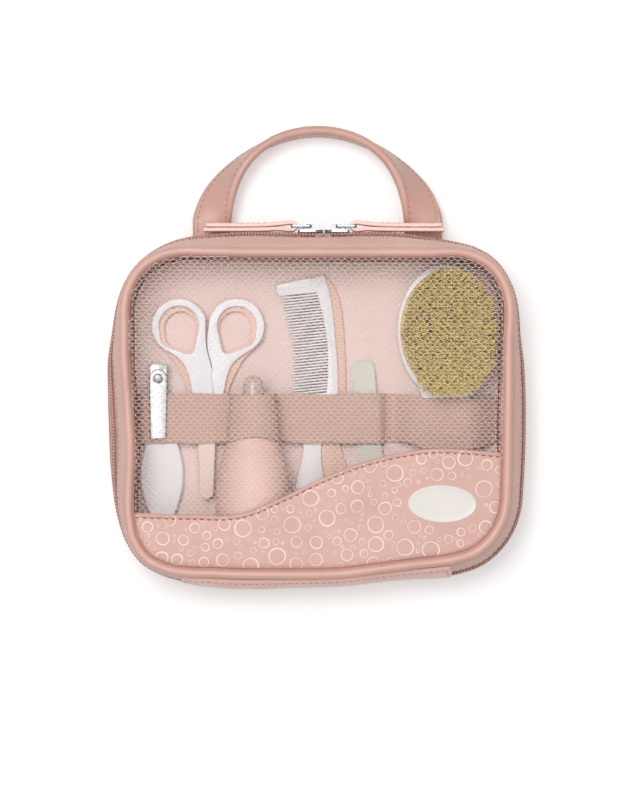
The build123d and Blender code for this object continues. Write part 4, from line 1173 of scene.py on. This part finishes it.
def bristles():
    """Fine curled hairs in tufts on a pad in the hairs' root colour, leaning every way a little."""
    rng = random.Random(611)
    verts, faces, tones, heights = [], [], [], []
    cx, cy, base, half_x, half_y = 62.6, 39.4, 17.2, 21.2, 28.7
    tip_x, tip_y, tip_half_x, tip_half_y, tip_low = 65.4, 37.4, 21.7, 32.2, 7.6
    pitch, third_of_turn = 1.55, 2.0944
    row_step = pitch * 0.866
    rows = int(half_y / row_step) + 1
    for row in range(-rows, rows + 1):
        for column in range(-15, 16):
            u = ((column + (row % 2) / 2) * pitch + rng.uniform(-0.25, 0.25)) / half_x
            v = (row * row_step + rng.uniform(-0.25, 0.25)) / half_y
            if math.hypot(u, v) > 1:
                continue
            x, y = cx + u * half_x, cy + v * half_y
            lean_x = tip_x + u * tip_half_x - x + rng.gauss(0, 0.7)
            lean_y = tip_y + v * tip_half_y - y + rng.gauss(0, 0.7)
            if y + lean_y < tip_low:
                continue
            for _ in range(12):
                tone = min(1, max(0, rng.gauss(0.55, 0.28)))
                length = rng.uniform(14.3, 17.0)
                a = rng.uniform(0, 2 * math.pi)
                spread = rng.uniform(0.1, 0.95)
                curl = rng.uniform(0.4, 1.7)
                ca = rng.uniform(0, 2 * math.pi)
                width = rng.uniform(0.15, 0.24)
                first = len(verts)
                for t in (0.0, 0.35, 0.65, 0.85, 1.0):
                    fan = spread * (0.3 + 0.9 * t)
                    px = x + math.cos(a) * fan + lean_x * t + curl * t * t * math.cos(ca + 2.2 * t)
                    py = y + math.sin(a) * fan + lean_y * t + curl * t * t * math.sin(ca + 2.2 * t)
                    pz = base + length * t * (1 - 0.03 * curl)
                    w = width * (1 - 0.35 * t * t)
                    for j in range(3):
                        b = ca + j * third_of_turn
                        verts.append((px + w * math.cos(b), py + w * math.sin(b), pz))
                    tones += [tone] * 3
                    heights += [t**1.5] * 3
                for i in range(first, first + 12, 3):
                    faces += [(i, i + 1, i + 4, i + 3), (i + 1, i + 2, i + 5, i + 4)]
                    faces.append((i + 2, i, i + 3, i + 5))
                faces.append((first + 12, first + 13, first + 14))
    n = 80
    first = len(verts)
    for scale, z in ((1.0, 16.6), (1.0, 17.5), (0.96, 17.95), (0.5, 18.05)):
        verts += [(cx + 22.0 * scale * math.cos(a), cy + 29.5 * scale * math.sin(a), z) for a in full_turn(n)]
    tones += [0.35] * 4 * n
    heights += [0.1] * 4 * n
    faces += grid_faces(4, n, True, first) + end_faces(4, n, first)[1:]
    obj = make("bristle_tufts", verts, faces, HAIR, fix=False)
    for label, values in (("tone", tones), ("height", heights)):
        layer = obj.data.attributes.new(label, "FLOAT", "POINT")
        layer.data.foreach_set("value", values)
    put(obj, "brush_bristles")


def hull(circles):
    """The line round a few circles, each given as its middle and radius."""
    circles = np.array(circles)
    a = full_turn(120)
    n = stack(np.cos(a), np.sin(a))
    best = np.argmax(n @ circles[:, :2].T + circles[:, 2], axis=1)
    return circles[best, :2] + circles[best, 2:] * n


def plate(lines, low, high, width):
    """A flat moulding with rounded edges, from its outline and any hole, from z low to high."""
    bm = bmesh.new()
    ends = [[bm.verts.new((x * MM, y * MM, z * MM)) for line in lines for x, y in line] for z in (low, high)]
    for a, b, c in tessellate_polygon([[Vector((x, y, 0)) for x, y in line] for line in lines]):
        for end in ends:
            bm.faces.new((end[a], end[b], end[c]))
    first = 0
    for line in lines:
        n = len(line)
        for i in range(n):
            a, b = first + i, first + (i + 1) % n
            bm.faces.new((ends[0][a], ends[0][b], ends[1][b], ends[1][a]))
        first += n
    bmesh.ops.recalc_face_normals(bm, faces=bm.faces)
    soften(bm, width, 4)
    return bm


def comb_bar():
    """The comb's thick end bar with its round tip."""
    low, high = (c[2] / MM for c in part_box("comb_front"))
    bm = plate([hull([(-18.5, 60.9, 2.0), (-4.5, 63.4, 2.5)])], low + 0.2, high + 0.15, 0.9)
    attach(settled("comb_bar", bm, WHITE), BODY["comb_front"])


# The left finger loop, from the scissors' middle line: its ring, its hole, the neck's edge and the split
LOOP_X, LOOP_Y, LOOP_R = -14.1, 41.8, 13.5
HOLE = [(-14.3, 42.0, 9.9), (-9.9, 31.5, 3.4), (-17.6, 37.2, 6.0)]
UNDER_HOLE = [(x + 0.8, y - 0.9, r - 1.7) for x, y, r in HOLE]
NECK = [(-19.4, 29.4), (-15.2, 26.6), (-12.0, 23.6), (-10.1, 20.0), (-8.6, 14.6), (-6.9, 5.5)]
UNDER_NECK = [(-24.4, 32.3), (-20.9, 29.0), (-17.5, 25.8), (-15.0, 21.8), (-13.0, 17.6), (-11.0, 13.2),
              (-8.2, 5.5)]
SPLIT = {
    "a": [(2.45, 5.5), (2.45, 17.5), (1.6, 22.5), (-0.7, 30.5), (-1.15, 37.0), (-1.15, 42.0)],
    "b": [(-2.95, 5.5), (-2.95, 17.5), (-2.1, 22.5), (0.2, 30.5), (0.3, 37.0), (-0.62, 42.0)],
}


def loop_line(neck, grow, split):
    """The outline of the left loop with its neck, out to the split line."""
    r = LOOP_R + grow
    end = math.degrees(math.atan2(neck[0][1] - LOOP_Y, neck[0][0] - LOOP_X)) % 360
    start = math.degrees(math.acos(min(1.0, (split[-1][0] - LOOP_X) / r)))
    a = np.radians(np.linspace(start, end, 90))
    ring = stack(LOOP_X + r * np.cos(a), LOOP_Y + r * np.sin(a))
    return np.concatenate([ring, smooth_line(neck)[1:], smooth_line(split)])


def shank(node):
    """The CAD's own lower end of a handle or an under-layer, below the crossing."""
    bm = welded(node)
    cut = bmesh.ops.bisect_plane(
        bm, geom=bm.verts[:] + bm.edges[:] + bm.faces[:], plane_co=(0, SHANK_Y * MM, 0), plane_no=(0, 1, 0),
        clear_outer=True
    )
    bmesh.ops.holes_fill(bm, edges=[e for e in cut["geom_cut"] if isinstance(e, bmesh.types.BMEdge)])
    mesh = bpy.data.meshes.new("shank")
    bm.to_mesh(mesh)
    bm.free()
    return mesh


def scissors_half(half, mirror):
    """A white handle and its peach under-layer, shaped as in the photo above the crossing at the screw."""
    handle, under = "scissors_handle_" + half, "scissors_underlay_" + half
    low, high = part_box(under)[0][2] / MM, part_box(handle)[1][2] / MM
    middle = low + 2.6
    for node, mat, neck, grow, hole, bottom, top, width in (
        (handle, WHITE, NECK, 0.0, HOLE, middle, high, 0.8),
        (under, PEACH, UNDER_NECK, 0.45, UNDER_HOLE, low, middle, 0.5),
    ):
        lines = [loop_line(neck, grow, SPLIT[half]), hull(hole)]
        bm = plate([line * (mirror, 1) + (SCISSORS_X, 0) for line in lines], bottom, top, width)
        bm.from_mesh(shank(node))
        put(settled(node + "_finish", bm, mat), node)


def tools():
    for part in ("lower_jaw", "upper_jaw", "rivet"):
        finished("clipper_" + part, CHROME, 0.18, 2)
    finished("clipper_pin", DARK_CHROME, 0.5)
    finished("clipper_lever", CHROME, 0.75, 4)
    finished("clipper_grip", WHITE)
    finished("scissors_blade_a", STEEL, 0.2, 2)
    finished("scissors_blade_b", STEEL, 0.2, 2)
    finished("scissors_screw", STEEL, 0.15, 2)
    scissors_half("a", 1)
    scissors_half("b", -1)
    finished("blade_cap", CREAM, 1.3, 4)
    bulb()
    finished("aspirator_nozzle", CLEAR)
    finished("comb_front", WHITE, 0.18, 2)
    comb_bar()
    finished("comb_back", PEACH, 0.7)
    for i in range(1, 5):
        finished(f"nail_file_{i}", GRIT, 0.12, 1)
    finished("brush_body", WHITE)
    bristles()


# The studio
def floor_paint():
    """Matt white paper that the camera sees as white, with the object's shadow kept."""
    s = Shader("paper", 0.9, Base_Color=(0.82, 0.82, 0.82, 1), Specular_IOR_Level=0.1)
    rays = s.tree.nodes.new("ShaderNodeLightPath").outputs
    seen = rays["Is Camera Ray"]
    for kind in ("Is Glossy Ray", "Is Transmission Ray"):
        seen = s.math("MAXIMUM", seen, rays[kind])
    glow = s.node("Emission", Strength=s.mul(seen, 0.30))
    both = s.node("AddShader", i0=s.bsdf.outputs[0], i1=glow.outputs[0])
    s.tree.links.new(both.outputs[0], s.tree.nodes["Material Output"].inputs["Surface"])
    return s.mat


def studio():
    reach = 3000
    corners = [(-reach, -reach, 0), (reach, -reach, 0), (reach, reach, 0), (-reach, reach, 0)]
    make("floor", corners, [(0, 1, 2, 3)], floor_paint(), fix=False)
    scene = bpy.context.scene
    scene.world = bpy.data.worlds.new("studio")
    scene.world.use_nodes = True
    background = scene.world.node_tree.nodes["Background"].inputs
    background["Color"].default_value = (1, 1, 1, 1)
    background["Strength"].default_value = 0.22
    for name, place, size, power in (
        ("key", (-0.325, 0.39, 1.63), 0.6, 11.0),
        ("top", (0.03, 0.05, 1.75), 1.9, 17.8),
    ):
        light = bpy.data.lights.new(name, "AREA")
        light.size = size
        light.energy = power
        lamp = link(name, light)
        lamp.location = place
        lamp.rotation_euler = (-Vector(place)).to_track_quat("-Z", "Y").to_euler()
    camera = link("camera", bpy.data.cameras.new("camera"))
    camera.location = (0.0012, 0.00456, 1.45)
    camera.data.lens = 130.6
    camera.data.sensor_width = 36
    camera.data.clip_end = 20
    scene.camera = camera
    scene.view_settings.view_transform = "Standard"


studio()
back_pieces()
for half in ("back", "lid"):
    piping(half)
    gusset(half)
    zip_row(half)
hinge_strip()
net()
panel()
elastic_band()
strap()
tools()
hardware()
